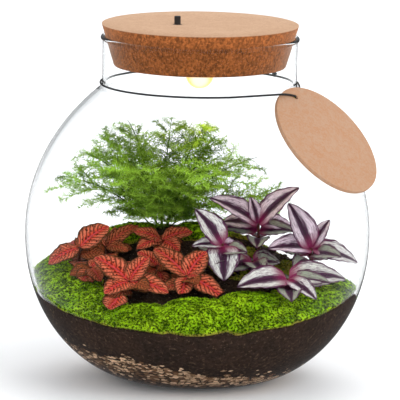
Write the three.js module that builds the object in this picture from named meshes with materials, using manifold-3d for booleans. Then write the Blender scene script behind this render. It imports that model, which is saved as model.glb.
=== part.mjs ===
// Glass plant terrarium: a round blown jar with a cork lid that holds a small lamp, planted with an
// asparagus fern, a nerve plant, an inch plant and moss over soil and drainage chips.
// Millimetres, +Z up. The origin is the middle of the jar's flat foot.
import * as THREE from "three";
import { mergeVertices } from "three/addons/utils/BufferGeometryUtils.js";
import Module from "manifold-3d";

const wasm = await Module();
wasm.setup();

// Driving dimensions, in millimetres and degrees
const ROUND_SIDES = 32;
const SMALL_SIDES = 20;
const FIT_GAP = 0.3;
const CORNER_GRID = 0.002;

const JAR = {
  height: 250, belly: 125, bellyHeight: 107, foot: 44.6, wall: 2.3, baseThickness: 4.5,
  bowlPower: 1.726, bowlRise: 2.144, shoulderReach: 54, shoulderRise: 148,
  neck: 70.3, neckFoot: 213.5, shoulderTop: 211, beadOutside: 71.7, beadHeight: 3,
};
const LID = { top: 258.8, bottom: 228.5, topRadius: 71.2, bottomRadius: 61.9, edge: 1 };
const LAMP = {
  recess: 30, recessTop: 246.5, wall: 1.4, coverRadius: 33, coverThickness: 1.9,
  lensRadius: 10, lensBottom: 211.8, lensWall: 1.2, flange: 13.5, flangeThickness: 1.5,
  boardThickness: 1.6, boardBottom: 231.5, led: 5, ledThickness: 1.6,
};
const CELL = { radius: 5.1, length: 44, nub: 1.9, nubLength: 0.8, pitch: 11.5, count: 3 };
const SWITCH = { x: -16.5, y: -5, radius: 2.3, height: 6, sleeve: 3.1, floor: 0.6, travel: 1.5 };
const TAG = {
  radius: 46, thickness: 3, hole: 2, holeFromCentre: 38.2,
  azimuth: -33.7, elevation: 42.5, roll: 3.4, centre: [91.4, -51.5, 184.4],
};
const CORD = { radius: 0.75, ring: 71.5, height: 215.6, leaves: 290, knot: 2.3, knotAzimuth: 40 };
const GROUND = {
  middle: 96.7, tilt: 0.017, frontSlope: 0.408, backFall: 0.35, sideFall: 0.0017, sideEase: 0.0062,
  crest: 25.1, crestBow: 0.0024, crestMiddle: -42, crestWidth: 9,
};
const DRAINAGE = { middle: 22, tilt: -0.13, slope: 0.03 };
const CHIPS = {
  count: 14, length: 12, width: 8, thickness: 4, inset: 2.2, lowest: 9, levels: 3, rise: 8,
};
const BLADE = 0.7;
const STEM = 1.2;
const STEM_DEPTH = 12;
const CLEAR = { ground: 1, glass: 1.5, bar: 0.9, leaf: 1.4 };

const COLOURS = {
  glass: 0xdfe8ea, cork: 0xa8683c, tag: 0xd7aa87, black: 0x171717, white: 0xe9e6df,
  lens: 0xffe2ae, board: 0x2f6b42, led: 0xf6e27a, cell: 0x6f7d86,
  soil: 0x2f221d, chips: 0xb08d68, moss: 0x6f9a22, fern: 0x4f8b2a,
  nerve: 0xc4573f, inch: 0x8a7387,
};

// Small helpers for angles, solids and closed sweeps
const rad = THREE.MathUtils.degToRad;
const at = (x, y, z) => new THREE.Vector3(x, y, z);

function seededRandom(seed) {
  let state = seed;
  return () => {
    state = (state + 0x6d2b79f5) | 0;
    let t = Math.imul(state ^ (state >>> 15), 1 | state);
    t = (t + Math.imul(t ^ (t >>> 7), 61 | t)) ^ t;
    return ((t ^ (t >>> 14)) >>> 0) / 4294967296;
  };
}

function geometryFrom(positions, index) {
  const geometry = new THREE.BufferGeometry();
  geometry.setAttribute("position", new THREE.Float32BufferAttribute(positions, 3));
  geometry.setIndex(index);
  return geometry;
}

// The same surface with shared corners and without the triangles that this flattens
function welded(geometry) {
  const bare = (geometry.index ? geometry.toNonIndexed() : geometry).clone();
  bare.deleteAttribute("normal");
  bare.deleteAttribute("uv");
  const merged = mergeVertices(bare);
  const index = merged.index.array;
  const kept = [];
  for (let i = 0; i < index.length; i += 3) {
    const [a, b, c] = [index[i], index[i + 1], index[i + 2]];
    if (a !== b && b !== c && c !== a) kept.push(a, b, c);
  }
  merged.setIndex(kept);
  return merged;
}

function solid(geometry) {
  const whole = welded(geometry);
  return new wasm.Manifold(new wasm.Mesh({
    numProp: 3,
    vertProperties: new Float32Array(whole.attributes.position.array),
    triVerts: new Uint32Array(whole.index.array),
  }));
}

// Corners sit on a fine grid, so that no edge of a joined piece is shorter than it
function geometryOf(body) {
  const mesh = body.getMesh();
  const snapped = (value) => Math.round(value / CORNER_GRID) * CORNER_GRID;
  const positions = Array.from(mesh.vertProperties, snapped);
  return welded(geometryFrom(positions, Array.from(mesh.triVerts)));
}

const join = (bodies) => bodies.reduce((whole, body) => whole.add(body));

// A cut piece without the loose scraps that the cut leaves
const largest = (body) => body.decompose().sort((a, b) => b.volume() - a.volume())[0];

// A turned piece: its outline runs from the axis at the bottom, round the outside, to the axis
function turned(outline, sides = ROUND_SIDES) {
  const points = outline.map(([r, z]) => new THREE.Vector2(r, z));
  return new THREE.LatheGeometry(points, sides).rotateX(Math.PI / 2);
}

function rod(x, y, radius, bottom, top, sides = 12) {
  const geometry = new THREE.CylinderGeometry(radius, radius, top - bottom, sides);
  return geometry.rotateX(Math.PI / 2).translate(x, y, (top + bottom) / 2);
}

// A closed round bar through the given points, with a radius at each of them
function sweep(points, radii, sides) {
  const positions = [];
  const index = [];
  const last = points.length - 1;
  let normal = null;
  points.forEach((point, i) => {
    const before = points[Math.max(i - 1, 0)];
    const after = points[Math.min(i + 1, last)];
    const along = after.clone().sub(before).normalize();
    if (!normal) normal = Math.abs(along.z) < 0.9 ? at(0, 0, 1) : at(1, 0, 0);
    normal = normal.clone().addScaledVector(along, -normal.dot(along)).normalize();
    const side = along.clone().cross(normal);
    for (let k = 0; k < sides; k += 1) {
      const turn = (2 * Math.PI * k) / sides;
      const out = normal.clone().multiplyScalar(Math.cos(turn)).addScaledVector(side, Math.sin(turn));
      positions.push(...point.clone().addScaledVector(out, radii[i]).toArray());
    }
  });
  for (let i = 0; i < last; i += 1) {
    for (let k = 0; k < sides; k += 1) {
      const a = i * sides + k;
      const b = i * sides + ((k + 1) % sides);
      index.push(a, b, a + sides, b, b + sides, a + sides);
    }
  }
  for (let k = 1; k < sides - 1; k += 1) {
    index.push(0, k + 1, k, last * sides, last * sides + k, last * sides + k + 1);
  }
  return geometryFrom(positions, index);
}

// The jar's wall: a flattened bowl below the belly and an elliptical shoulder above it
function wallOutline(foot, base, belly, rise, top) {
  const outline = [];
  const bowlSteps = 6;
  const shoulderSteps = 4;
  for (let i = 0; i <= bowlSteps; i += 1) {
    const turn = (i / bowlSteps) * (Math.PI / 2);
    const r = foot + (belly - foot) * Math.sin(turn) ** (2 / JAR.bowlPower);
    const z = base + (JAR.bellyHeight - base) * (1 - Math.abs(Math.cos(turn)) ** (2 / JAR.bowlRise));
    outline.push([r, z]);
  }
  const end = Math.asin((top - JAR.bellyHeight) / rise);
  for (let i = 1; i <= shoulderSteps; i += 1) {
    const turn = (i / shoulderSteps) * end;
    const r = (belly + JAR.shoulderReach) * Math.cos(turn) - JAR.shoulderReach;
    outline.push([r, JAR.bellyHeight + rise * Math.sin(turn)]);
  }
  return outline;
}

const innerOutline = (gap) => wallOutline(
  JAR.foot - JAR.wall - gap, JAR.baseThickness + gap, JAR.belly - JAR.wall - gap,
  JAR.shoulderRise - JAR.wall - gap, JAR.shoulderTop - gap);

function innerRadius(z) {
  const belly = JAR.belly - JAR.wall;
  if (z < JAR.bellyHeight) {
    const up = Math.max((z - JAR.baseThickness) / (JAR.bellyHeight - JAR.baseThickness), 0);
    const foot = JAR.foot - JAR.wall;
    return foot + (belly - foot) * (1 - (1 - up) ** JAR.bowlRise) ** (1 / JAR.bowlPower);
  }
  const sine = Math.min((z - JAR.bellyHeight) / (JAR.shoulderRise - JAR.wall), 1);
  return (belly + JAR.shoulderReach) * Math.sqrt(1 - sine * sine) - JAR.shoulderReach;
}

function glassJar() {
  const outside = wallOutline(JAR.foot, 0, JAR.belly, JAR.shoulderRise, JAR.shoulderTop);
  const inside = innerOutline(0).reverse();
  const bead = JAR.height - JAR.beadHeight / 2;
  const neckInside = JAR.neck - JAR.wall;
  const beadInside = lidRadius(bead) + FIT_GAP;
  return turned([
    [0, 0], ...outside, [JAR.neck, JAR.neckFoot], [JAR.neck, JAR.height - JAR.beadHeight],
    [JAR.beadOutside, bead], [JAR.neck + 0.6, JAR.height], [JAR.neck - 0.7, JAR.height],
    [beadInside, bead], [neckInside, JAR.height - JAR.beadHeight], [neckInside, JAR.neckFoot - 1],
    ...inside, [0, JAR.baseThickness],
  ]);
}

const innerSpace = (gap, top) => solid(turned([
  [0, JAR.baseThickness + gap], ...innerOutline(gap).filter(([, z]) => z < top), [0, top]]));

// The cork lid is a tapered stopper with a recess below for the lamp and a bore for the switch
function lidRadius(z) {
  const up = (z - LID.bottom) / (LID.top - LID.bottom);
  return LID.bottomRadius + (LID.topRadius - LID.bottomRadius) * up;
}

function corkLid() {
  const body = solid(turned([
    [0, LAMP.recessTop], [LAMP.recess, LAMP.recessTop], [LAMP.recess, LID.bottom],
    [LID.bottomRadius - LID.edge, LID.bottom], [lidRadius(LID.bottom + LID.edge), LID.bottom + LID.edge],
    [lidRadius(LID.top - LID.edge), LID.top - LID.edge], [LID.topRadius - LID.edge, LID.top],
    [0, LID.top],
  ]));
  const bore = rod(SWITCH.x, SWITCH.y, SWITCH.sleeve + FIT_GAP, LAMP.recessTop - 1, LID.top + 1);
  return geometryOf(body.subtract(solid(bore)));
}

function lampHousing() {
  const radius = LAMP.recess - FIT_GAP;
  const top = LAMP.recessTop - FIT_GAP;
  const bottom = LID.bottom + FIT_GAP;
  const body = solid(turned([
    [0, top - LAMP.wall], [radius - LAMP.wall, top - LAMP.wall], [radius - LAMP.wall, bottom],
    [radius, bottom], [radius, top], [0, top],
  ], SMALL_SIDES));
  const bore = rod(SWITCH.x, SWITCH.y, SWITCH.sleeve + FIT_GAP, top - 2 * LAMP.wall, top + 1);
  return geometryOf(body.subtract(solid(bore)));
}

function lampCover() {
  const top = LID.bottom - FIT_GAP;
  const bottom = top - LAMP.coverThickness;
  const hole = LAMP.lensRadius + 2 * FIT_GAP;
  return turned([
    [hole, bottom], [LAMP.coverRadius - 1, bottom], [LAMP.coverRadius, bottom + 1],
    [LAMP.coverRadius, top], [hole, top], [hole, bottom],
  ], SMALL_SIDES);
}

function lampLens() {
  const outline = [];
  const steps = 4;
  const seat = LID.bottom;
  const domeTop = LAMP.lensBottom + LAMP.lensRadius;
  const curve = (radius, drop) => (i) => {
    const turn = (i / steps) * (Math.PI / 2);
    return [radius * Math.sin(turn), domeTop - drop * Math.cos(turn)];
  };
  const outside = curve(LAMP.lensRadius, LAMP.lensRadius);
  const inside = curve(LAMP.lensRadius - LAMP.lensWall, LAMP.lensRadius - LAMP.lensWall);
  for (let i = 0; i <= steps; i += 1) outline.push(outside(i));
  outline.push([LAMP.lensRadius, seat], [LAMP.flange, seat], [LAMP.flange, seat + LAMP.flangeThickness]);
  outline.push([LAMP.lensRadius - LAMP.lensWall, seat + LAMP.flangeThickness]);
  for (let i = steps; i >= 0; i -= 1) outline.push(inside(i));
  return turned(outline, SMALL_SIDES / 2);
}

function batteryCell(row) {
  const half = CELL.length / 2;
  const geometry = turned([
    [0, -half], [CELL.radius, -half], [CELL.radius, half - CELL.nubLength],
    [CELL.nub, half - CELL.nubLength], [CELL.nub, half], [0, half],
  ], SMALL_SIDES / 2);
  const turnedRound = row % 2 === 0 ? Math.PI / 2 : -Math.PI / 2;
  const y = (row - (CELL.count - 1) / 2) * CELL.pitch;
  const z = LAMP.boardBottom + LAMP.boardThickness + FIT_GAP + CELL.radius;
  return geometry.rotateY(turnedRound).translate(0, y, z);
}

function switchSleeve() {
  const floorTop = LAMP.recessTop - FIT_GAP;
  const bottom = floorTop - LAMP.wall - SWITCH.floor;
  const bore = SWITCH.radius + FIT_GAP;
  return turned([
    [0, bottom], [SWITCH.sleeve, bottom], [SWITCH.sleeve, LID.top], [bore, LID.top],
    [bore, floorTop], [0, floorTop],
  ], SMALL_SIDES / 2).translate(SWITCH.x, SWITCH.y, 0);
}

// Pressed home, the button stops a fit gap above the sleeve's floor
function switchButton() {
  const edge = 0.5;
  const top = LID.top + SWITCH.height;
  const bottom = LAMP.recessTop + SWITCH.travel;
  return turned([
    [0, bottom], [SWITCH.radius, bottom], [SWITCH.radius, top - edge], [SWITCH.radius - edge, top],
    [0, top],
  ], SMALL_SIDES / 2).translate(SWITCH.x, SWITCH.y, 0);
}

// The round tag leans on the shoulder: right, up and out are its own directions
function tagFrame() {
  const azimuth = rad(TAG.azimuth);
  const elevation = rad(TAG.elevation);
  const out = at(Math.cos(elevation) * Math.cos(azimuth), Math.cos(elevation) * Math.sin(azimuth),
    Math.sin(elevation));
  const level = at(-Math.sin(azimuth), Math.cos(azimuth), 0);
  const steep = out.clone().cross(level);
  const up = steep.multiplyScalar(Math.cos(rad(TAG.roll)))
    .addScaledVector(level, -Math.sin(rad(TAG.roll)));
  return { right: up.clone().cross(out), up, out };
}

function tagDisc() {
  const outline = new THREE.Shape().absarc(0, 0, TAG.radius, 0, 2 * Math.PI);
  outline.holes.push(new THREE.Path().absarc(0, TAG.holeFromCentre, TAG.hole, 0, 2 * Math.PI, true));
  const geometry = new THREE.ExtrudeGeometry(outline, {
    depth: TAG.thickness, bevelEnabled: false, curveSegments: 14,
  });
  return geometry.translate(0, 0, -TAG.thickness);
}

// The elastic cord runs round the neck, over the tag's face, through its hole and back to the knot
function neckCord() {
  const { right, up, out } = tagFrame();
  const hole = at(...TAG.centre).addScaledVector(up, TAG.holeFromCentre);
  const onRing = (azimuth, radius = CORD.ring) =>
    at(radius * Math.cos(rad(azimuth)), radius * Math.sin(rad(azimuth)), CORD.height);
  const onTag = (side, height, clear) => hole.clone()
    .addScaledVector(right, side).addScaledVector(up, height).addScaledVector(out, clear);
  const route = [];
  const steps = 26;
  for (let i = 0; i <= steps; i += 1) {
    route.push(onRing(CORD.knotAzimuth + ((CORD.leaves - CORD.knotAzimuth) * i) / steps));
  }
  route.push(onTag(-20, 5, 1.4), onTag(-14, 4.2, 1.2), onTag(-8, 2.7, 1.05), onTag(-4, 1.2, 1));
  route.push(onTag(-1.6, 0, 0.95), onTag(-0.6, 0, -0.4), onTag(-0.2, 0, -2.4), onTag(0.8, 0.2, -3.9));
  route.push(onTag(5, 1, -3.95), onTag(12, 2, -4.6), onRing(-9, CORD.ring + 1.2));
  const back = 6;
  for (let i = 0; i <= back; i += 1) route.push(onRing((CORD.knotAzimuth * i) / back));
  const bar = solid(sweep(route, route.map(() => CORD.radius), 5));
  const knot = new THREE.IcosahedronGeometry(CORD.knot, 0);
  const place = onRing(CORD.knotAzimuth, CORD.ring + CORD.knot - CORD.radius);
  knot.translate(place.x, place.y, place.z + 1);
  return geometryOf(bar.add(solid(knot)));
}

// Ground: a mound that climbs from the front of the jar to a bowed crest and falls away behind it
function ground(x, y) {
  const crest = GROUND.crest - GROUND.crestBow * (x - GROUND.crestMiddle) ** 2;
  const beyond = y - crest;
  const blend = 1 / (1 + Math.exp(-beyond / GROUND.crestWidth));
  const slope = GROUND.frontSlope * (1 - blend) - GROUND.backFall * blend;
  const top = GROUND.middle + GROUND.tilt * x + GROUND.frontSlope * crest;
  const sides = GROUND.sideFall * x ** 2 * (1 + GROUND.sideEase * y);
  const ripples = 1.1 * Math.sin(x * 0.11 + 1.3) * Math.cos(y * 0.13 + x * 0.04);
  return top - sides + slope * beyond + ripples;
}

function drainTop(x, y) {
  const ripples = 1.5 * Math.sin(x * 0.12) * Math.cos(y * 0.1);
  return DRAINAGE.middle + DRAINAGE.tilt * x + DRAINAGE.slope * y + ripples;
}

// A block of ground below a height map, wide enough to fill the jar
function terrain(height, lift = 0) {
  const cells = 8;
  const width = 2 * JAR.belly + 10;
  const geometry = new THREE.BoxGeometry(width, width, 2, cells, cells, 1);
  const position = geometry.attributes.position;
  for (let i = 0; i < position.count; i += 1) {
    const top = height(position.getX(i), position.getY(i)) + lift;
    position.setZ(i, position.getZ(i) > 0 ? top : -20);
  }
  return solid(geometry);
}

function drainageChips() {
  const random = seededRandom(11);
  const bodies = [innerSpace(CHIPS.inset, 60)];
  for (let i = 0; i < CHIPS.count; i += 1) {
    const azimuth = rad(-175 + (360 * i) / CHIPS.count + 6 * random());
    const level = CHIPS.lowest + (i % CHIPS.levels) * CHIPS.rise + 3 * random();
    const lean = Math.atan2(innerRadius(level + 1) - innerRadius(level - 1), 2);
    const radius = innerRadius(level) - CHIPS.inset * Math.cos(lean);
    const z = level + CHIPS.inset * Math.sin(lean);
    const chip = new THREE.OctahedronGeometry(0.5);
    const chipLength = CHIPS.length * (0.8 + 0.6 * random());
    const chipWidth = CHIPS.width * (0.8 + 0.5 * random());
    chip.scale(chipLength, chipWidth, CHIPS.thickness);
    chip.rotateZ((random() - 0.5) * 1.2);
    chip.rotateX(Math.PI / 2 - lean);
    chip.rotateZ(azimuth + Math.PI / 2);
    chip.translate(radius * Math.cos(azimuth), radius * Math.sin(azimuth), z);
    bodies.push(solid(chip));
  }
  return largest(join(bodies).intersect(terrain(drainTop)).intersect(innerSpace(FIT_GAP, 60)));
}

// Moss cushions, each [x, y, half width, half depth, height above the soil]
const MOSS = {
  moss_left: [[-94, -36, 27, 30, 11], [-74, -68, 26, 24, 9], [-104, -4, 19, 28, 9]],
  moss_front: [[-38, -92, 27, 20, 8], [0, -90, 30, 20, 12], [40, -84, 30, 24, 12], [76, -66, 26, 22, 9]],
  moss_right: [[101, -32, 22, 27, 9], [107, 4, 17, 28, 8]],
  moss_centre: [[4, 14, 22, 14, 8]],
  moss_back_left: [[-80, 44, 30, 28, 8], [-46, 76, 30, 24, 9], [-56, 22, 26, 18, 8]],
  moss_back_right: [[22, 88, 34, 22, 8], [68, 58, 34, 30, 9]],
};

function bumps(x, y) {
  return 0.5 * Math.sin(x * 0.9) * Math.cos(y * 0.8) + 0.5 * Math.sin(x * 0.37 + y * 0.53);
}

function cushion([cx, cy, halfWidth, halfDepth, height], grow = 0) {
  const geometry = new THREE.SphereGeometry(1, 10, 6).rotateX(Math.PI / 2);
  const position = geometry.attributes.position;
  for (let i = 0; i < position.count; i += 1) {
    const x = cx + position.getX(i) * (halfWidth + grow);
    const y = cy + position.getY(i) * (halfDepth + grow);
    const z = ground(x, y) + position.getZ(i) * (height + grow) * (1 + 0.12 * bumps(x, y));
    position.setXYZ(i, x, y, z);
  }
  return solid(geometry);
}

function coverTop(x, y) {
  let top = ground(x, y) + 1;
  for (const [cx, cy, halfWidth, halfDepth, height] of Object.values(MOSS).flat()) {
    const off = ((x - cx) / (halfWidth + 1)) ** 2 + ((y - cy) / (halfDepth + 1)) ** 2;
    if (off < 1) top = Math.max(top, ground(x, y) + 1 + height * 1.14 * Math.sqrt(1 - off));
  }
  return top;
}

// A point moved just far enough to lie above the moss and inside the glass
function keepInside(point, clear) {
  point.z = Math.max(point.z, coverTop(point.x, point.y) + clear);
  const reach = innerRadius(point.z) - 1 - clear;
  const out = Math.hypot(point.x, point.y);
  if (out > reach) {
    point.x *= reach / out;
    point.y *= reach / out;
  }
  return point;
}

// Leafy sprays. A leaf is [azimuth, rise, length, width, bare stalk]; crown is where they meet
const TOWARDS_LIGHT = at(0, -0.55, 0.84);
const NERVE_LEAF = {
  rows: 4, breadth: 1.1, arch: 0.1, fold: 0.12, wave: 0.55, waves: 2,
  fullness: 0.75, roundness: 0.6,
};
const INCH_LEAF = {
  rows: 4, breadth: 1.35, arch: 0.07, fold: 0.3, wave: 0.3, waves: 1.5,
  fullness: 0.66, roundness: 0.72,
};

const NERVE_PLANT = {
  nerve_front_left: {
    root: [-47, -60], crown: [-48, -62, 81],
    leaves: [[151, 27, 32, 19], [30, 47, 23, 15], [-140, -16, 23, 17], [-23, -10, 31, 18],
      [-121, -38, 34, 17, 14], [95, 35, 20, 14]],
  },
  nerve_front_middle: {
    root: [-7, -58], crown: [-7, -60, 85],
    leaves: [[137, 25, 36, 17], [41, 42, 24, 18], [-104, -39, 19, 14], [-17, -28, 32, 16],
      [-40, 3, 12, 7], [85, 25, 22, 14]],
  },
  nerve_back: {
    root: [-28, -4], crown: [-26, -6, 101],
    leaves: [[-172, 18, 21, 13], [15, 13, 24, 14], [-46, -17, 20, 15], [-137, -9, 24, 12],
      [-110, 3, 11, 7]],
  },
  nerve_left: {
    root: [-85, -19], crown: [-85, -20, 97],
    leaves: [[-164, -26, 25, 15], [21, 33, 27, 19], [114, 2, 18, 12], [70, 8, 22, 13]],
  },
  nerve_left_back: {
    root: [-64, -10], crown: [-66, -8, 96],
    leaves: [[30, 26, 30, 12], [75, 4, 22, 13], [-25, -5, 18, 11]],
  },
  nerve_left_low: {
    root: [-76, -38], crown: [-76, -38, 86],
    leaves: [[-158, -22, 17, 12], [-114, -40, 18, 14], [-60, -25, 17, 13], [60, 10, 15, 11]],
  },
  nerve_middle: {
    root: [-28, -33], crown: [-28, -33, 87],
    leaves: [[160, 30, 18, 13], [-80, -30, 27, 12, 8], [70, 20, 18, 13], [5, 5, 18, 12]],
  },
};

const INCH_PLANT = {
  inch_back: {
    root: [45, -6], crown: [44, -14, 115],
    leaves: [[-170, 29, 41, 15], [135, 66, 21, 8], [-12, 44, 41, 15], [159, -1, 28, 15],
      [29, -8, 30, 14], [92, 5, 30, 14]],
  },
  inch_right: {
    root: [82, -18], crown: [82, -22, 99],
    leaves: [[166, 62, 37, 15], [36, 50, 26, 9], [10, -17, 36, 15], [-156, 4, 34, 15], [80, 2, 30, 14]],
  },
  inch_middle: {
    root: [20, -30], crown: [18, -38, 104],
    leaves: [[169, 51, 32, 15], [-160, 1, 23, 9], [-85, -51, 29, 18], [37, -16, 18, 10]],
  },
  inch_front: {
    root: [65, -60], crown: [65, -60, 84],
    leaves: [[-162, -6, 38, 17], [21, -3, 44, 18], [-46, -20, 30, 11]],
  },
  inch_low: {
    root: [42, -32], crown: [40, -32, 91],
    leaves: [[-150, -12, 26, 14], [-70, -10, 20, 13], [25, -4, 22, 13]],
  },
};

// Two triangles; the second way of cutting keeps both faces of a blade split along the same line
function quad(index, a, b, c, d, cut = 0) {
  if (cut === 0) index.push(a, b, c, a, c, d);
  else index.push(a, b, d, b, c, d);
}

// A leaf blade: a thin closed sheet along an arched midrib, with waved edges and a folded middle
function blade(start, [azimuth, rise, length, width, stalk = 0], form) {
  const a = rad(azimuth);
  const e = rad(rise);
  const along = at(Math.cos(e) * Math.cos(a), Math.cos(e) * Math.sin(a), Math.sin(e));
  const face = TOWARDS_LIGHT.clone().addScaledVector(along, -TOWARDS_LIGHT.dot(along)).normalize();
  const side = along.clone().cross(face);
  const offset = STEM * 0.6;
  const root = start.clone().addScaledVector(along, offset);
  const positions = [];
  const middle = [];
  for (let i = 0; i <= form.rows; i += 1) {
    const s = i / form.rows;
    const bare = stalk / length;
    const t = THREE.MathUtils.clamp((s - bare) / (1 - bare), 0, 1);
    const outline = Math.sin(Math.PI * t ** form.fullness) ** form.roundness || 0;
    const half = Math.max((form.breadth * width / 2) * outline, 0.5);
    const isTip = i === form.rows;
    for (const c of isTip ? [0] : [-1, 0, 1]) {
      const edgeWave = half > 1 ? form.wave * c * Math.sin(2 * Math.PI * form.waves * s + a) : 0;
      const lift = form.arch * length * 4 * s * (1 - s) + form.fold * half * Math.abs(c) + edgeWave;
      const point = root.clone().addScaledVector(along, s * (length - offset))
        .addScaledVector(side, half * c).addScaledVector(face, lift);
      keepInside(point, 0.8);
      positions.push(...point.clone().addScaledVector(face, BLADE / 2).toArray());
      positions.push(...point.clone().addScaledVector(face, -BLADE / 2).toArray());
      if (c === 0) middle.push({ point, reach: half });
    }
  }
  const tip = form.rows * 6;
  const top = (row, c) => (row === form.rows ? tip : row * 6 + c * 2);
  const under = (row, c) => top(row, c) + 1;
  const index = [];
  for (let row = 0; row < form.rows; row += 1) {
    for (let c = 0; c < 2; c += 1) {
      quad(index, top(row, c), top(row, c + 1), top(row + 1, c + 1), top(row + 1, c));
      quad(index, under(row, c), under(row + 1, c), under(row + 1, c + 1), under(row, c + 1), 1);
    }
    quad(index, under(row, 0), top(row, 0), top(row + 1, 0), under(row + 1, 0));
    quad(index, top(row, 2), under(row, 2), under(row + 1, 2), top(row + 1, 2));
  }
  for (let c = 0; c < 2; c += 1) {
    quad(index, under(0, c), under(0, c + 1), top(0, c + 1), top(0, c));
  }
  return { geometry: geometryFrom(positions, index), middle };
}

const stemHoles = [];
const obstacles = [];

function stemHole(x, y, radius) {
  const bottom = ground(x, y) - STEM_DEPTH - FIT_GAP;
  stemHoles.push(solid(rod(x, y, radius + 0.5, bottom, ground(x, y) + 20, 5)));
}

function leafySpray({ root, crown, leaves }, form) {
  const [x, y] = root;
  const top = at(...crown);
  const soilTop = ground(x, y);
  const points = [
    at(x, y, soilTop - STEM_DEPTH), at(x, y, soilTop + 1),
    at(x, y, soilTop + 1).lerp(top, 0.6), top.clone().addScaledVector(at(0, 0, 1), 0.8),
  ];
  stemHole(x, y, STEM);
  const bodies = [solid(sweep(points, [STEM, STEM, STEM, STEM * 1.1], 5))];
  for (const leaf of leaves) {
    const { geometry, middle } = blade(top, leaf, form);
    bodies.push(solid(geometry));
    obstacles.push(...middle);
  }
  return geometryOf(join(bodies));
}

// Fern fronds in turn round the crown of stems. Each is [azimuth, rise, reach] of its tip
const FERN_CROWN = { x: -26, y: 30, z: 98, ring: 8 };
const FRONDS = [
  [-168, 33, 84], [-158, 46, 92], [-144, 72, 97], [-112, 48, 74], [-60, 48, 76], [-24, 68, 97],
  [-15, 25, 78], [-3, 40, 95], [30, 56, 94], [68, 78, 93], [112, 48, 76], [172, 57, 91],
];
const FROND = {
  steps: 5, stem: 0.75, tip: 0.3, twigSpacing: 21, twig: 26, twigStem: 0.42, firstTwig: 0.4,
};
const NEEDLE = { length: 6, forward: 0.5, whorls: 3, base: 0.9 };

const taken = [];

function segmentGap(p, q) {
  const d1 = p.to.clone().sub(p.from);
  const d2 = q.to.clone().sub(q.from);
  const r = p.from.clone().sub(q.from);
  const [a, e, f, b, c] = [d1.dot(d1), d2.dot(d2), d2.dot(r), d1.dot(d2), d1.dot(r)];
  const denominator = a * e - b * b;
  let s = denominator > 1e-9 ? THREE.MathUtils.clamp((b * f - c * e) / denominator, 0, 1) : 0;
  let t = (b * s + f) / e;
  if (t < 0) {
    t = 0;
    s = THREE.MathUtils.clamp(-c / a, 0, 1);
  } else if (t > 1) {
    t = 1;
    s = THREE.MathUtils.clamp((b - c) / a, 0, 1);
  }
  return p.from.clone().addScaledVector(d1, s).distanceTo(q.from.clone().addScaledVector(d2, t));
}

// True where a bar from one point to another stays clear of leaves, other fronds, moss and glass
function isClear(from, to, frond) {
  const bar = { from, to };
  for (const end of [to, from.clone().lerp(to, 0.5)]) {
    if (end.z < coverTop(end.x, end.y) + CLEAR.ground) return false;
    if (Math.hypot(end.x, end.y) > innerRadius(end.z) - CLEAR.glass) return false;
  }
  for (const other of taken) {
    if (other.frond !== frond && segmentGap(bar, other) < other.radius + CLEAR.bar) return false;
  }
  const axis = new THREE.Line3(from, to);
  const nearest = at(0, 0, 0);
  return obstacles.every(({ point, reach }) => {
    axis.closestPointToPoint(point, true, nearest);
    return nearest.distanceTo(point) > reach + CLEAR.leaf;
  });
}

function frondRoot(frond) {
  const azimuth = rad(-180 + (360 * frond) / FRONDS.length);
  const ring = FERN_CROWN.ring * (frond % 2 === 0 ? 1 : 0.5);
  return [FERN_CROWN.x + ring * Math.cos(azimuth), FERN_CROWN.y + ring * Math.sin(azimuth)];
}

function frondStem(frond) {
  const [azimuth, rise, reach] = FRONDS[frond];
  const [x, y] = frondRoot(frond);
  const flat = reach * Math.cos(rad(rise));
  const foot = at(x, y, ground(x, y) + 1);
  const tip = at(x + flat * Math.cos(rad(azimuth)), y + flat * Math.sin(rad(azimuth)),
    FERN_CROWN.z + reach * Math.sin(rad(rise)));
  const knee = foot.clone().lerp(tip, 0.4);
  knee.z = foot.z + (tip.z - foot.z) * 0.72 + 6;
  const above = new THREE.QuadraticBezierCurve3(foot, knee, tip).getPoints(FROND.steps);
  return { above, points: [at(x, y, ground(x, y) - STEM_DEPTH), ...above] };
}

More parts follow.
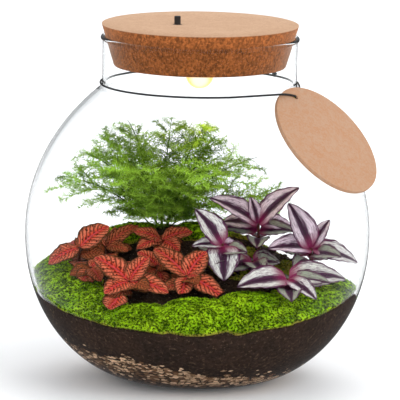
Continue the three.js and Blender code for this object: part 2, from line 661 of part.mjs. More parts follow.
// A twig is a slim three-sided bar. At each whorl its three faces rise into thin spiked needles
function twig(root, tip, frond, turn) {
  const along = tip.clone().sub(root);
  const length = along.length();
  along.normalize();
  const level = at(0.3, 0.2, 1).cross(along).normalize();
  const over = along.clone().cross(level);
  const positions = [];
  const index = [];
  const add = (point) => positions.push(...point.toArray()) / 3 - 1;
  const outward = (angle) => level.clone().multiplyScalar(Math.cos(angle))
    .addScaledVector(over, Math.sin(angle));
  const corner = (k) => turn + (2 * Math.PI * k) / 3;
  const ring = (distance) => {
    const radius = FROND.twigStem * (1 - 0.6 * (distance / length));
    return [0, 1, 2].map((k) => add(root.clone().addScaledVector(along, distance)
      .addScaledVector(outward(corner(k)), radius)));
  };
  let below = ring(0);
  index.push(below[0], below[2], below[1]);
  for (let whorl = 1; whorl <= NEEDLE.whorls; whorl += 1) {
    const distance = (length * (whorl - 0.3)) / NEEDLE.whorls;
    const lower = ring(distance);
    const upper = ring(distance + NEEDLE.base);
    for (let k = 0; k < 3; k += 1) {
      const next = (k + 1) % 3;
      quad(index, below[k], below[next], lower[next], lower[k]);
      const centre = root.clone().addScaledVector(along, distance + NEEDLE.base / 2);
      const out = outward(corner(k + 0.5)).addScaledVector(along, NEEDLE.forward).normalize();
      const reach = [1, 0.7, 0.4].find((share) => isClear(
        centre, centre.clone().addScaledVector(out, NEEDLE.length * share), frond));
      if (!reach) {
        quad(index, lower[k], lower[next], upper[next], upper[k]);
        continue;
      }
      const end = centre.clone().addScaledVector(out, NEEDLE.length * reach);
      taken.push({ from: centre, to: end, radius: 0.4, frond });
      const spike = add(end);
      const base = [lower[k], lower[next], upper[next], upper[k]];
      base.forEach((a, i) => index.push(a, base[(i + 1) % 4], spike));
    }
    below = upper;
  }
  const point = add(tip);
  for (let k = 0; k < 3; k += 1) index.push(below[k], below[(k + 1) % 3], point);
  taken.push({ from: root, to: tip, radius: FROND.twigStem, frond });
  return solid(geometryFrom(positions, index));
}

function fernFrond(frond) {
  const random = seededRandom(100 + frond);
  const { above, points } = frondStem(frond);
  const radii = points.map((_, i) => FROND.stem + (FROND.tip - FROND.stem) * (i / (points.length - 1)));
  const bodies = [solid(sweep(points, radii, 3))];
  const twigs = Math.round(FRONDS[frond][2] / FROND.twigSpacing);
  for (let i = 0; i < twigs; i += 1) {
    const s = FROND.firstTwig + (0.98 - FROND.firstTwig) * (i / (twigs - 1));
    const step = Math.floor(s * FROND.steps);
    const root = above[step].clone().lerp(above[step + 1], s * FROND.steps - step);
    const along = above[step + 1].clone().sub(above[step]).normalize();
    const level = at(0, 0, 1).cross(along).normalize();
    const over = along.clone().cross(level);
    const turn = i * 2.4 + frond;
    const out = level.multiplyScalar(Math.cos(turn)).addScaledVector(over, 0.7 * Math.sin(turn));
    const last = i === twigs - 1;
    const heading = last ? along.clone() : out.addScaledVector(along, 0.7).normalize();
    const full = FROND.twig * (1 - 0.35 * s) * (0.9 + 0.2 * random());
    const share = [1, 0.75, 0.5].find((part) => isClear(
      root, root.clone().addScaledVector(heading, full * part), frond));
    if (share) {
      bodies.push(twig(root, root.clone().addScaledVector(heading, full * share), frond, turn));
    }
  }
  return geometryOf(join(bodies));
}

// Assembly
const terrarium = new THREE.Group();

function place(name, geometry, colour, roughness, metalness = 0) {
  const material = new THREE.MeshStandardMaterial({ color: colour, roughness, metalness });
  const mesh = new THREE.Mesh(geometry, material);
  mesh.name = name;
  terrarium.add(mesh);
  return mesh;
}

place("glass_jar", glassJar(), COLOURS.glass, 0.05);
place("cork_lid", corkLid(), COLOURS.cork, 0.85);
place("lamp_housing", lampHousing(), COLOURS.white, 0.5);
place("lamp_cover", lampCover(), COLOURS.white, 0.45);
place("lamp_lens", lampLens(), COLOURS.lens, 0.3);

const boardTop = LAMP.boardBottom + LAMP.boardThickness;
const boardRadius = LAMP.recess - LAMP.wall - 2 * FIT_GAP;
const board = rod(0, 0, boardRadius, LAMP.boardBottom, boardTop, SMALL_SIDES);
place("lamp_board", board, COLOURS.board, 0.6);
const ledTop = LAMP.boardBottom - FIT_GAP;
const led = new THREE.BoxGeometry(LAMP.led, LAMP.led, LAMP.ledThickness);
place("lamp_led", led.translate(0, 0, ledTop - LAMP.ledThickness / 2), COLOURS.led, 0.4);
for (let row = 0; row < CELL.count; row += 1) {
  place(`battery_cell_${row + 1}`, batteryCell(row), COLOURS.cell, 0.4, 0.6);
}
place("switch_sleeve", switchSleeve(), COLOURS.black, 0.4);
place("switch_button", switchButton(), COLOURS.black, 0.35);

const tag = place("tag", tagDisc(), COLOURS.tag, 0.8);
const { right, up, out } = tagFrame();
tag.quaternion.setFromRotationMatrix(new THREE.Matrix4().makeBasis(right, up, out));
tag.position.set(...TAG.centre);
place("neck_cord", neckCord(), COLOURS.black, 0.7);

for (const [name, spray] of Object.entries(NERVE_PLANT)) {
  place(name, leafySpray(spray, NERVE_LEAF), COLOURS.nerve, 0.6);
}
for (const [name, spray] of Object.entries(INCH_PLANT)) {
  place(name, leafySpray(spray, INCH_LEAF), COLOURS.inch, 0.5);
}

FRONDS.forEach((_, frond) => {
  const { points } = frondStem(frond);
  stemHole(...frondRoot(frond), FROND.stem);
  for (let i = 1; i < points.length; i += 1) {
    taken.push({ from: points[i - 1], to: points[i], radius: FROND.stem, frond });
  }
});
FRONDS.forEach((_, frond) => {
  place(`fern_frond_${String(frond + 1).padStart(2, "0")}`, fernFrond(frond), COLOURS.fern, 0.6);
});

const holes = join(stemHoles);
place("drainage_chips", geometryOf(drainageChips()), COLOURS.chips, 0.9);
const soil = innerSpace(FIT_GAP, 130).intersect(terrain(ground))
  .subtract(terrain(drainTop, FIT_GAP)).subtract(holes);
place("soil", geometryOf(soil), COLOURS.soil, 0.95);

const air = innerSpace(FIT_GAP, 140).subtract(terrain(ground, FIT_GAP)).subtract(holes);
let earlier = null;
for (const [name, cushions] of Object.entries(MOSS)) {
  let bank = join(cushions.map((shape) => cushion(shape))).intersect(air);
  if (earlier) bank = bank.subtract(earlier);
  place(name, geometryOf(bank), COLOURS.moss, 0.9);
  const grown = join(cushions.map((shape) => cushion(shape, FIT_GAP)));
  earlier = earlier ? earlier.add(grown) : grown;
}

export default terrarium;
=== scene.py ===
"""Dresses the glass plant terrarium: a round jar garden under a cork lid that holds a lamp.

Each operator makes one piece or a group of like pieces over the packed model, in the model's own
frame. Sizes that belong to the form are in millimetres, as on the drawing, and turn into metres
where a mesh is made.
"""

import math

import bpy
import numpy as np
from bpy.props import (
    FloatProperty, FloatVectorProperty, IntProperty, PointerProperty)
from mathutils import Matrix, Vector


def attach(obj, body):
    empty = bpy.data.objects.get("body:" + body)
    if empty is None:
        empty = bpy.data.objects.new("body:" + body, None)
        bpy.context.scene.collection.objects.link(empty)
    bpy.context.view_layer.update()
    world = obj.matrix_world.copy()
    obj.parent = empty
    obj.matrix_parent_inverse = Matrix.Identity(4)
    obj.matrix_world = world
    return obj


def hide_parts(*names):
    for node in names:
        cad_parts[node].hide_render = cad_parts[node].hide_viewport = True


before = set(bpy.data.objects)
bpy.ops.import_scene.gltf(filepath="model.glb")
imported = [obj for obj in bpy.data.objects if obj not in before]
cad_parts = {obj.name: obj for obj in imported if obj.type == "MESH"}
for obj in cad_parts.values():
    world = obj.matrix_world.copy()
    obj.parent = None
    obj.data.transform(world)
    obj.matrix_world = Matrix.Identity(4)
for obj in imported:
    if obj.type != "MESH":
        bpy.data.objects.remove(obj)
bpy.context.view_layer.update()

bl_info = {
    "name": "Glass plant terrarium",
    "version": (1, 0, 0),
    "blender": (4, 5, 0),
    "location": "View3D > Sidebar > Terrarium",
    "description": "Makes a round jar garden with a cork lid, a lamp, ferns, leafy plants and moss",
    "category": "Add Mesh",
}

MM = 0.001
BODY = "terrarium"

# Form of the jar, the lid and what they hold, in millimetres and degrees
HEIGHT = 250.0
BELLY = 125.0
BELLY_HEIGHT = 107.0
FOOT = 44.6
WALL = 2.3
BASE = 4.5
BOWL_POWER = 1.726
BOWL_RISE = 2.144
SHOULDER_REACH = 54.0
SHOULDER_RISE = 148.0
SHOULDER_TOP = 211.0
BOWL_STEPS = 40
SHOULDER_STEPS = 32
NECK = 70.3
NECK_SWEEP = [(2.0, 0.7), (1.15, 1.8), (0.55, 3.1), (0.2, 4.6), (0.0, 6.4)]
BEAD_HEIGHT = 3.0
BEAD_MIDDLE = 69.9
BEAD_REACH = 1.82
FIT_GAP = 0.3

LID_TOP = 258.8
LID_BOTTOM = 228.5
LID_TOP_RADIUS = 71.2
LID_BOTTOM_RADIUS = 61.9
LID_EDGE = 0.7
RECESS = 30.0
RECESS_TOP = 246.5
LENS_RADIUS = 10.0
LENS_HOLLOW = 8.8
LENS_FLANGE = 13.5
LENS_BOTTOM = 211.8
COVER_RADIUS = 33.0
COVER_THICKNESS = 1.9
SWITCH_AT = (-16.5, -5.0)
SWITCH_RADIUS = 2.3
SLEEVE_RADIUS = 3.1
SLEEVE_FLOOR = 0.6
HOUSING_WALL = 1.4
SWITCH_HEIGHT = 6.0

TAG_RADIUS = 46.0
TAG_THICKNESS = 3.0
TAG_HOLE = 2.0
TAG_HOLE_UP = 38.2
TAG_TURN = (-33.7, 42.5, 3.4)
TAG_CENTRE = (91.4, -51.5, 184.4)

CORD_RADIUS = 0.75
CORD_RING = 71.5
CORD_HEIGHT = 215.6
CORD_LEAVES = 290.0
KNOT_AZIMUTH = 40.0

# The soil's mound, and what lies on it
GROUND_MIDDLE = 96.7
TILT = 0.017
FRONT_SLOPE = 0.408
BACK_FALL = 0.35
SIDE_FALL = 0.0017
SIDE_EASE = 0.0062
CREST = 25.1
CREST_BOW = 0.0024
CREST_MIDDLE = -42.0
CREST_WIDTH = 9.0
PRESSED_IN = 0.8
CRUMBS = 900

# Where the chips drift up against the glass, in radians round the jar's axis
DRIFT_AZIMUTH = 4.16
DRIFT_WIDTH = 0.24

MOSS_FUR = 1.5
MOSS_INTO_GLASS = 0.4
MOSS_VOXEL = 1.5
MOSS_LIFT = 8.0

STEM = 1.2
STEM_DEPTH = 12.0
TOWARDS_LIGHT = np.array([0.0, -0.55, 0.84])

# Moss cushions, each (x, y, half width, half depth, height above the soil)
MOSS = {
    "moss_left": [(-94, -36, 27, 30, 11), (-74, -68, 26, 24, 9), (-104, -4, 19, 28, 9)],
    "moss_front": [(-38, -92, 27, 20, 8), (0, -90, 30, 20, 12), (40, -84, 30, 24, 12),
                   (76, -66, 26, 22, 9)],
    "moss_right": [(101, -32, 22, 27, 9), (107, 4, 17, 28, 8)],
    "moss_centre": [(4, 14, 22, 14, 8)],
    "moss_back_left": [(-80, 44, 30, 28, 8), (-46, 76, 30, 24, 9), (-56, 22, 26, 18, 8)],
    "moss_back_right": [(22, 88, 34, 22, 8), (68, 58, 34, 30, 9)],
}

# The thin moss between the plants, as cushions too
CARPET = [
    (34, -22, 26, 22, 2.5), (76, -34, 24, 26, 2.5), (40, 36, 44, 30, 3), (-16, 52, 40, 26, 2.5),
    (84, 24, 24, 26, 3),
]

# Leafy shoots: root, crown and leaves, each leaf (azimuth, rise, length, width, bare stalk)
NERVE_PLANT = {
    "nerve_front_left": ((-47, -60), (-48, -62, 81), [
        (151, 27, 32, 19), (30, 47, 23, 15), (-140, -16, 23, 17), (-23, -10, 31, 18),
        (-121, -38, 34, 17, 14), (95, 35, 20, 14)]),
    "nerve_front_middle": ((-7, -58), (-7, -60, 85), [
        (137, 25, 36, 17), (41, 42, 24, 18), (-104, -39, 19, 14), (-17, -28, 32, 16),
        (-40, 3, 12, 7), (85, 25, 22, 14)]),
    "nerve_back": ((-28, -4), (-26, -6, 101), [
        (-172, 18, 21, 13), (15, 13, 24, 14), (-46, -17, 20, 15), (-137, -9, 24, 12),
        (-110, 3, 11, 7)]),
    "nerve_left": ((-85, -19), (-85, -20, 97), [
        (-164, -26, 25, 15), (21, 33, 27, 19), (114, 2, 18, 12), (70, 8, 22, 13)]),
    "nerve_left_back": ((-64, -10), (-66, -8, 96), [
        (30, 26, 30, 12), (75, 4, 22, 13), (-25, -5, 18, 11)]),
    "nerve_left_low": ((-76, -38), (-76, -38, 86), [
        (-158, -22, 17, 12), (-114, -40, 18, 14), (-60, -25, 17, 13), (60, 10, 15, 11)]),
    "nerve_middle": ((-28, -33), (-28, -33, 87), [
        (160, 30, 18, 13), (-80, -30, 27, 12, 8), (70, 20, 18, 13), (5, 5, 18, 12)]),
}
INCH_PLANT = {
    "inch_back": ((45, -6), (44, -14, 115), [
        (-170, 29, 41, 15), (135, 66, 21, 8), (-12, 44, 41, 15), (159, -1, 28, 15),
        (29, -8, 30, 14), (92, 5, 30, 14)]),
    "inch_right": ((82, -18), (82, -22, 99), [
        (166, 62, 37, 15), (36, 50, 26, 9), (10, -17, 36, 15), (-156, 4, 34, 15),
        (80, 2, 30, 14)]),
    "inch_middle": ((20, -30), (18, -38, 104), [
        (169, 51, 32, 15), (-160, 1, 23, 9), (-85, -51, 29, 18), (37, -16, 18, 10)]),
    "inch_front": ((65, -60), (65, -60, 84), [
        (-162, -6, 38, 17), (21, -3, 44, 18), (-46, -20, 30, 11)]),
    "inch_low": ((42, -32), (40, -32, 91), [
        (-150, -12, 26, 14), (-70, -10, 20, 13), (25, -4, 22, 13)]),
}

# Tone of each shoot's leaves, from 0 for old and shaded to 1 for young and bright
NERVE_TONES = {
    "nerve_front_left": 0.62, "nerve_front_middle": 0.60, "nerve_back": 0.45, "nerve_left": 0.40,
    "nerve_left_back": 0.35, "nerve_left_low": 0.25, "nerve_middle": 0.4}
INCH_TONES = {
    "inch_back": 0.85, "inch_right": 0.8, "inch_middle": 0.75, "inch_front": 0.65, "inch_low": 0.2}

# How the blades of each kind are bent, folded, waved and outlined
NERVE_FORM = {"arch": 0.1, "fold": 0.12, "wave": 0.55, "waves": 2.0,
              "fullness": 0.75, "roundness": 0.6, "breadth": 1.1}
INCH_FORM = {"arch": 0.07, "fold": 0.3, "wave": 0.3, "waves": 1.5,
             "fullness": 0.66, "roundness": 0.62, "breadth": 1.4}

# Fern fronds in turn round the crown, each (azimuth, rise, reach) of its tip
FERN_CENTRE = (-26.0, 30.0, 98.0)
FERN_RING = 8.0
FERN_HEART = (-26.0, 30.0, 150.0)
FERN_TOP = 191.0
FERN_FALL = 0.0085
FERN_SKIRT = 97.0
FROND_STEPS = 25
TWIG_STEPS = 7
FRONDS = [
    (-168, 33, 84), (-158, 46, 92), (-144, 72, 97), (-112, 48, 74), (-60, 48, 76), (-24, 68, 97),
    (-15, 25, 78), (-3, 40, 95), (30, 56, 94), (68, 78, 93), (112, 48, 76), (172, 57, 91),
]

# The glass bends light less than real glass, so that reflections in its wall don't veil the plants
GLASS_IOR = 1.16

# Where the camera looks, in metres, and its lens and sensor, in millimetres
AIM = (0.0016, 0.0, 0.130)
LENS_LENGTH = 372.3
SENSOR = 36.0


# Settings that a user would change

class JarSettings(bpy.types.PropertyGroup):
    """Finish of the blown jar"""
    tint: FloatVectorProperty(
        name="Glass tint", description="Colour that the clear glass lets through", subtype="COLOR",
        size=4, min=0.0, max=1.0, default=(0.975, 0.985, 0.985, 1.0))
    sides: IntProperty(
        name="Sides", description="Steps round the jar's axis", default=144, min=32, max=256)


class CorkSettings(bpy.types.PropertyGroup):
    """Colours of the pressed cork lid and tag"""
    # The top's colour is paler as painted light from above
    top: FloatVectorProperty(
        name="Lid top", description="Sanded top of the lid", subtype="COLOR", size=4,
        min=0.0, max=1.0, default=(0.44, 0.265, 0.165, 1.0))
    # The side's colour is darker as painted shade
    side: FloatVectorProperty(
        name="Lid side", description="Turned side of the lid", subtype="COLOR", size=4,
        min=0.0, max=1.0, default=(0.47, 0.140, 0.034, 1.0))
    tag: FloatVectorProperty(
        name="Tag", description="Face of the thin cork tag", subtype="COLOR", size=4,
        min=0.0, max=1.0, default=(0.435, 0.268, 0.172, 1.0))


class LampSettings(bpy.types.PropertyGroup):
    """Glow of the lamp in the lid"""
    colour: FloatVectorProperty(
        name="Light colour", description="Warm white of the lens", subtype="COLOR", size=4,
        min=0.0, max=1.0, default=(1.0, 0.68, 0.18, 1.0))
    glow: FloatProperty(
        name="Glow", description="Brightness of the lit lens", default=1.05, min=0.0)
    power: FloatProperty(
        name="Power", description="Light that the lamp throws on the plants", default=0.05,
        min=0.0, unit="POWER")


class FernSettings(bpy.types.PropertyGroup):
    """Density and size of the fern's needles"""
    twigs: IntProperty(
        name="Twigs", description="Twigs on each frond", default=36, min=5, max=80)
    sprigs: IntProperty(
        name="Sprigs", description="Side sprigs on each twig", default=10, min=2, max=40)
    needles: IntProperty(
        name="Needles", description="Needles on each sprig", default=10, min=2, max=40)
    needle: FloatProperty(
        name="Needle length", description="Length of the longest needles", default=0.0047,
        min=0.001, unit="LENGTH")


class LeafSettings(bpy.types.PropertyGroup):
    """Blades of the broad-leaved plants"""
    thickness: FloatProperty(
        name="Blade thickness", description="Thickness of a blade along its midrib",
        default=0.0005, min=0.0001, unit="LENGTH")
    vein: FloatVectorProperty(
        name="Vein colour", description="Coral of the nerve plant's veins", subtype="COLOR", size=4,
        min=0.0, max=1.0, default=(0.80, 0.19, 0.10, 1.0))
    silver: FloatVectorProperty(
        name="Silver band", description="Pale bands of the inch plant's leaves", subtype="COLOR",
        size=4, min=0.0, max=1.0, default=(0.98, 0.97, 0.93, 1.0))


class MossSettings(bpy.types.PropertyGroup):
    """Tufts of the moss banks"""
    tufts: FloatProperty(
        name="Tufts", description="Shoots of moss on each square millimetre", default=1.55, min=0.1)
    shoot: FloatProperty(
        name="Shoot length", description="Length of the longest shoots", default=0.0017,
        min=0.0005, unit="LENGTH")
    tip: FloatVectorProperty(
        name="Tip colour", description="Bright green of the shoots' tips", subtype="COLOR", size=4,
        min=0.0, max=1.0, default=(0.56, 0.86, 0.020, 1.0))


class GroundSettings(bpy.types.PropertyGroup):
    """Soil and drainage chips"""
    soil: FloatVectorProperty(
        name="Soil", description="Colour of the damp soil", subtype="COLOR", size=4,
        min=0.0, max=1.0, default=(0.035, 0.021, 0.015, 1.0))
    chips: IntProperty(
        name="Chips", description="Loose chips against the glass", default=1500, min=0, max=3000)


class StageSettings(bpy.types.PropertyGroup):
    """Camera and light round the jar"""
    distance: FloatProperty(
        name="Camera distance", description="From the middle of the jar to the camera",
        default=3.0, min=0.5, unit="LENGTH")
    elevation: FloatProperty(
        name="Camera elevation", description="Height of the view above the horizon",
        default=math.radians(9.9), subtype="ANGLE")
    roll: FloatProperty(
        name="Camera roll", description="Turn of the picture round the view's axis",
        default=math.radians(0.86), subtype="ANGLE")


SETTINGS = {
    "jar": JarSettings, "cork": CorkSettings, "lamp": LampSettings, "fern": FernSettings,
    "leaf": LeafSettings, "moss": MossSettings, "ground": GroundSettings, "stage": StageSettings,
}


def settings(name):
    return getattr(bpy.context.scene, "terrarium_" + name)


# Form shared by several pieces, in millimetres

def wall_outline(inset, base):
    """A face of the jar's wall: a flattened bowl, and an elliptical shoulder above the belly."""
    foot, belly, rise = FOOT - inset, BELLY - inset, SHOULDER_RISE - inset
    outline = []
    for i in range(BOWL_STEPS + 1):
        turn = i / BOWL_STEPS * math.pi / 2
        r = foot + (belly - foot) * math.sin(turn) ** (2 / BOWL_POWER)
        z = base + (BELLY_HEIGHT - base) * (1 - abs(math.cos(turn)) ** (2 / BOWL_RISE))
        outline.append((r, z))
    end = math.asin((SHOULDER_TOP - BELLY_HEIGHT) / rise)
    for i in range(1, SHOULDER_STEPS + 1):
        turn = i / SHOULDER_STEPS * end
        r = (belly + SHOULDER_REACH) * math.cos(turn) - SHOULDER_REACH
        outline.append((r, BELLY_HEIGHT + rise * math.sin(turn)))
    return outline


def inner_radius(z):
    """Radius of the jar's inner face at each height."""
    z = np.asarray(z, dtype=float)
    belly = BELLY - WALL
    foot = FOOT - WALL
    up = np.clip((z - BASE) / (BELLY_HEIGHT - BASE), 0, 1)
    bowl = foot + (belly - foot) * (1 - (1 - up) ** BOWL_RISE) ** (1 / BOWL_POWER)
    sine = np.clip((z - BELLY_HEIGHT) / (SHOULDER_RISE - WALL), 0, 1)
    shoulder = (belly + SHOULDER_REACH) * np.sqrt(1 - sine * sine) - SHOULDER_REACH
    return np.where(z < BELLY_HEIGHT, bowl, shoulder)


def ground(x, y):
    """Height of the soil: a mound with a bowed crest behind the middle of the jar."""
    crest = CREST - CREST_BOW * (x - CREST_MIDDLE) ** 2
    beyond = y - crest
    share = 1 / (1 + np.exp(-beyond / CREST_WIDTH))
    slope = FRONT_SLOPE * (1 - share) - BACK_FALL * share
    top = GROUND_MIDDLE + TILT * x + FRONT_SLOPE * crest
    sides = SIDE_FALL * x ** 2 * (1 + SIDE_EASE * y)
    ripples = 1.1 * np.sin(x * 0.11 + 1.3) * np.cos(y * 0.13 + x * 0.04)
    return top - sides + slope * beyond + ripples


def drain_top(x, y):
    """Height of the drainage layer below the soil."""
    return 22 - 0.13 * x + 0.03 * y + 1.5 * np.sin(x * 0.12) * np.cos(y * 0.1)


def bumps(x, y):
    """Slow waves over the top of the moss."""
    return 0.5 * np.sin(x * 0.9) * np.cos(y * 0.8) + 0.5 * np.sin(x * 0.37 + y * 0.53)


def cover_top(x, y):
    """Height of the ground with the moss on it."""
    top = ground(x, y) + 1
    for cushions in MOSS.values():
        for cx, cy, half_width, half_depth, height in cushions:
            off = ((x - cx) / (half_width + 1)) ** 2 + ((y - cy) / (half_depth + 1)) ** 2
            rise = ground(x, y) + 1 + height * 1.14 * np.sqrt(np.clip(1 - off, 0, 1))
            top = np.where(off < 1, np.maximum(top, rise), top)
    return top


def lid_radius(z):
    """Radius of the lid's tapered side."""
    up = (z - LID_BOTTOM) / (LID_TOP - LID_BOTTOM)
    return LID_BOTTOM_RADIUS + (LID_TOP_RADIUS - LID_BOTTOM_RADIUS) * up


def unit(vectors):
    return vectors / np.maximum(np.linalg.norm(vectors, axis=-1, keepdims=True), 1e-12)


def soil_at(x, y):
    """Height of the soil at one place."""
    return float(ground(np.array(x), np.array(y)))


def drawn_in(points, reach):
    """The points, with each one's distance from the jar's axis cut down to its reach."""
    out = np.hypot(points[:, 0], points[:, 1])
    points[:, :2] *= np.minimum(reach / np.maximum(out, 1e-6), 1)[:, None]
    return points


def keep_inside(points, clear):
    """Points moved just far enough to lie above the moss and inside the glass."""
    points[:, 2] = np.maximum(points[:, 2], cover_top(points[:, 0], points[:, 1]) + clear)
    return drawn_in(points, inner_radius(points[:, 2]) - 1 - clear)


# Mesh helpers

def deselect():
    bpy.ops.object.select_all(action="DESELECT")


def activate(piece):
    deselect()
    piece.select_set(True)
    bpy.context.view_layer.objects.active = piece


def named(piece, name):
    piece.name = name
    piece.data.name = name
    return piece


def spun(name, outline, sides):
    """A turned piece: its outline, in millimetres, is spun round the upright axis and closed."""
    mesh = bpy.data.meshes.new(name)
    points = [(r * MM, 0.0, z * MM) for r, z in outline]
    mesh.from_pydata(points, [(i, i + 1) for i in range(len(points) - 1)], [])
    piece = bpy.data.objects.new(name, mesh)
    bpy.context.collection.objects.link(piece)
    activate(piece)
    bpy.ops.object.mode_set(mode="EDIT")
    bpy.ops.mesh.select_all(action="SELECT")
    bpy.ops.mesh.spin(steps=sides, angle=math.tau, center=(0, 0, 0), axis=(0, 0, 1))
    bpy.ops.mesh.select_all(action="SELECT")
    bpy.ops.mesh.remove_doubles(threshold=2e-6)
    bpy.ops.mesh.normals_make_consistent(inside=False)
    bpy.ops.object.mode_set(mode="OBJECT")
    bpy.ops.object.shade_smooth_by_angle(angle=math.radians(32))
    return piece


def round_bar(name, radius, bottom, top, sides, at=(0.0, 0.0)):
    """An upright cylinder between two heights, in millimetres."""
    deselect()
    bpy.ops.mesh.primitive_cylinder_add(
        vertices=sides, radius=radius * MM, depth=(top - bottom) * MM,
        location=(at[0] * MM, at[1] * MM, (top + bottom) / 2 * MM))
    bar = named(bpy.context.object, name)
    bpy.ops.object.transform_apply(location=True, rotation=True, scale=True)
    return bar


def cut(piece, tool):
    """Cuts the tool out of the piece and removes the tool."""
    activate(piece)
    change = piece.modifiers.new("cut", "BOOLEAN")
    change.operation = "DIFFERENCE"
    change.solver = "EXACT"
    change.object = tool
    bpy.ops.object.modifier_apply(modifier=change.name)
    bpy.data.objects.remove(tool)


def soften(piece, width):
    """Rounds the sharp edges of a piece, by a width in millimetres."""
    activate(piece)
    change = piece.modifiers.new("edges", "BEVEL")
    change.width = width * MM
    change.segments = 2
    change.limit_method = "ANGLE"
    change.angle_limit = math.radians(50)
    bpy.ops.object.modifier_apply(modifier=change.name)
    bpy.ops.object.shade_smooth_by_angle(angle=math.radians(40))


class Growth:
    """Points, faces and marks of one grown piece, in millimetres, before it becomes a mesh.

    A mark is (across, along, tint) for each point: the first two are the piece's UV map.
    """

    def __init__(self):
        self.points = []
        self.faces = []
        self.marks = []
        self.count = 0

    def add(self, points, faces, marks):
        points = np.asarray(points, dtype=float)
        marks = np.broadcast_to(np.asarray(marks, dtype=float), (len(points), 3))
        self.points.append(points)
        self.marks.append(marks)
        for group in faces:
            self.faces.extend((np.asarray(group) + self.count).tolist())
        self.count += len(points)

    def piece(self, name, smooth=True):
        mesh = bpy.data.meshes.new(name)
        mesh.from_pydata((np.concatenate(self.points) * MM).tolist(), [], self.faces)
        marks = np.concatenate(self.marks)
        corner = np.empty(len(mesh.loops), dtype=np.int32)
        mesh.loops.foreach_get("vertex_index", corner)
        layout = mesh.uv_layers.new(name="UVMap")
        layout.data.foreach_set("uv", marks[corner, :2].astype(np.float32).ravel())
        tint = mesh.attributes.new("tint", "FLOAT", "POINT")
        tint.data.foreach_set("value", marks[:, 2].astype(np.float32))
        mesh.polygons.foreach_set("use_smooth", np.full(len(mesh.polygons), smooth))
        mesh.update()
        piece = bpy.data.objects.new(name, mesh)
        bpy.context.collection.objects.link(piece)
        return piece


def marked(across, along, tint):
    """Marks of a growth's points, from arrays or from one value for all of them."""
    return np.stack(np.broadcast_arrays(across, along, tint), -1)


def places_of(mesh):
    """A mesh's points as rows of numbers, in metres."""
    places = np.empty(len(mesh.vertices) * 3)
    mesh.vertices.foreach_get("co", places)
    return places.reshape(-1, 3)


def resampled(line, steps):
    """The same line in another number of even steps."""
    share = np.linspace(0, len(line) - 1, steps)
    return np.stack([np.interp(share, np.arange(len(line)), line[:, k]) for k in range(3)], -1)


def rounded(points, steps):
    """A smooth line through the points, with more steps between them."""
    points = np.asarray(points, dtype=float)
    ends = np.concatenate([points[:1], points, points[-1:]])
    line = []
    for i in range(len(points) - 1):
        a, b, c, d = ends[i:i + 4]
        for t in np.arange(steps) / steps:
            line.append(0.5 * (2 * b + (c - a) * t + (2 * a - 5 * b + 4 * c - d) * t ** 2
                               + (3 * b - 3 * c + d - a) * t ** 3))
    return np.array([*line, points[-1]])


def tube(points, radii, sides):
    """A closed round bar through the points, as (points, groups of faces)."""
    points = np.asarray(points, dtype=float)
    count = len(points)
    along = unit(np.gradient(points, axis=0))
    normal = np.array([0.0, 0.0, 1.0]) if abs(along[0, 2]) < 0.9 else np.array([1.0, 0.0, 0.0])
    turn = np.arange(sides) / sides * math.tau
    rings = []
    for i in range(count):
        normal = unit(normal - along[i] * normal.dot(along[i]))
        side = np.cross(along[i], normal)
        out = np.cos(turn)[:, None] * normal + np.sin(turn)[:, None] * side
        rings.append(points[i] + radii[i] * out)
    start = np.arange(count - 1)[:, None] * sides
    k = np.arange(sides)[None, :]
    after = (k + 1) % sides
    walls = np.stack([start + k, start + after, start + after + sides, start + k + sides], -1)
    last = (count - 1) * sides
    ends = [[list(range(sides))[::-1]], [[last + i for i in range(sides)]]]
    return np.concatenate(rings), [walls.reshape(-1, 4), *ends]


def spikes(bases, directions, lengths, widths, turns):
    """Closed three-sided needles, as (points, groups of faces)."""
    along = unit(directions)
    upright = np.abs(along[:, 2:3]) < 0.9
    level = np.where(upright, np.array([[0.0, 0.0, 1.0]]), np.array([[1.0, 0.0, 0.0]]))
    side = unit(np.cross(level, along))
    over = np.cross(along, side)
    corners = []
    for k in range(3):
        turn = (turns + k * math.tau / 3)[:, None]
        corners.append(bases + widths[:, None] * (np.cos(turn) * side + np.sin(turn) * over))
    corners.append(bases + lengths[:, None] * along)
    points = np.stack(corners, axis=1).reshape(-1, 3)
    i = np.arange(len(bases))[:, None] * 4
    faces = np.concatenate([i + [0, 1, 3], i + [1, 2, 3], i + [2, 0, 3], i + [0, 2, 1]])
    return points, [faces]


def soft(lamp):
    """A light that lights the pieces but makes no bright shape in the glass."""
    bpy.context.collection.objects.link(lamp)
    lamp.visible_glossy = False
    lamp.visible_transmission = False


def in_place(piece, nodes, material, body=BODY):
    """The finished piece rides on its body, stands for its nodes and has its finish."""
    piece.data.materials.clear()
    piece.data.materials.append(material)
    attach(piece, body)
    if nodes:
        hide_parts(*nodes)


# Shader helpers

def fill(tree, socket, value):
    """Feeds an input from a socket or a plain value; a colour may leave out its alpha."""
    if isinstance(value, bpy.types.NodeSocket):
        tree.links.new(value, socket)
    elif socket.type == "RGBA":
        socket.default_value = (*value, 1.0)[:4]
    else:
        socket.default_value = value


def put(tree, kind, inputs=None, **properties):
    """A new node: inputs are plain values or sockets, by name or index."""
    made = tree.nodes.new(kind)
    for name, value in properties.items():
        setattr(made, name, value)
    for name, value in (inputs or {}).items():
        fill(tree, made.inputs[name], value)
    return made


def maths(tree, operation, *values):
    inputs = dict(enumerate(values))
    return put(tree, "ShaderNodeMath", inputs, operation=operation).outputs[0]


def times(tree, first, second):
    return maths(tree, "MULTIPLY", first, second)


def plus(tree, first, second):
    return maths(tree, "ADD", first, second)


def sloped(tree, value, slope, start):
    """The value times a slope, from a start."""
    return maths(tree, "MULTIPLY_ADD", value, slope, start)


def step(tree, value, low, high):
    """A smooth change from 0 at low to 1 at high."""
    made = put(tree, "ShaderNodeMapRange", {"Value": value, "From Min": low, "From Max": high},
               interpolation_type="SMOOTHSTEP")
    return made.outputs["Result"]


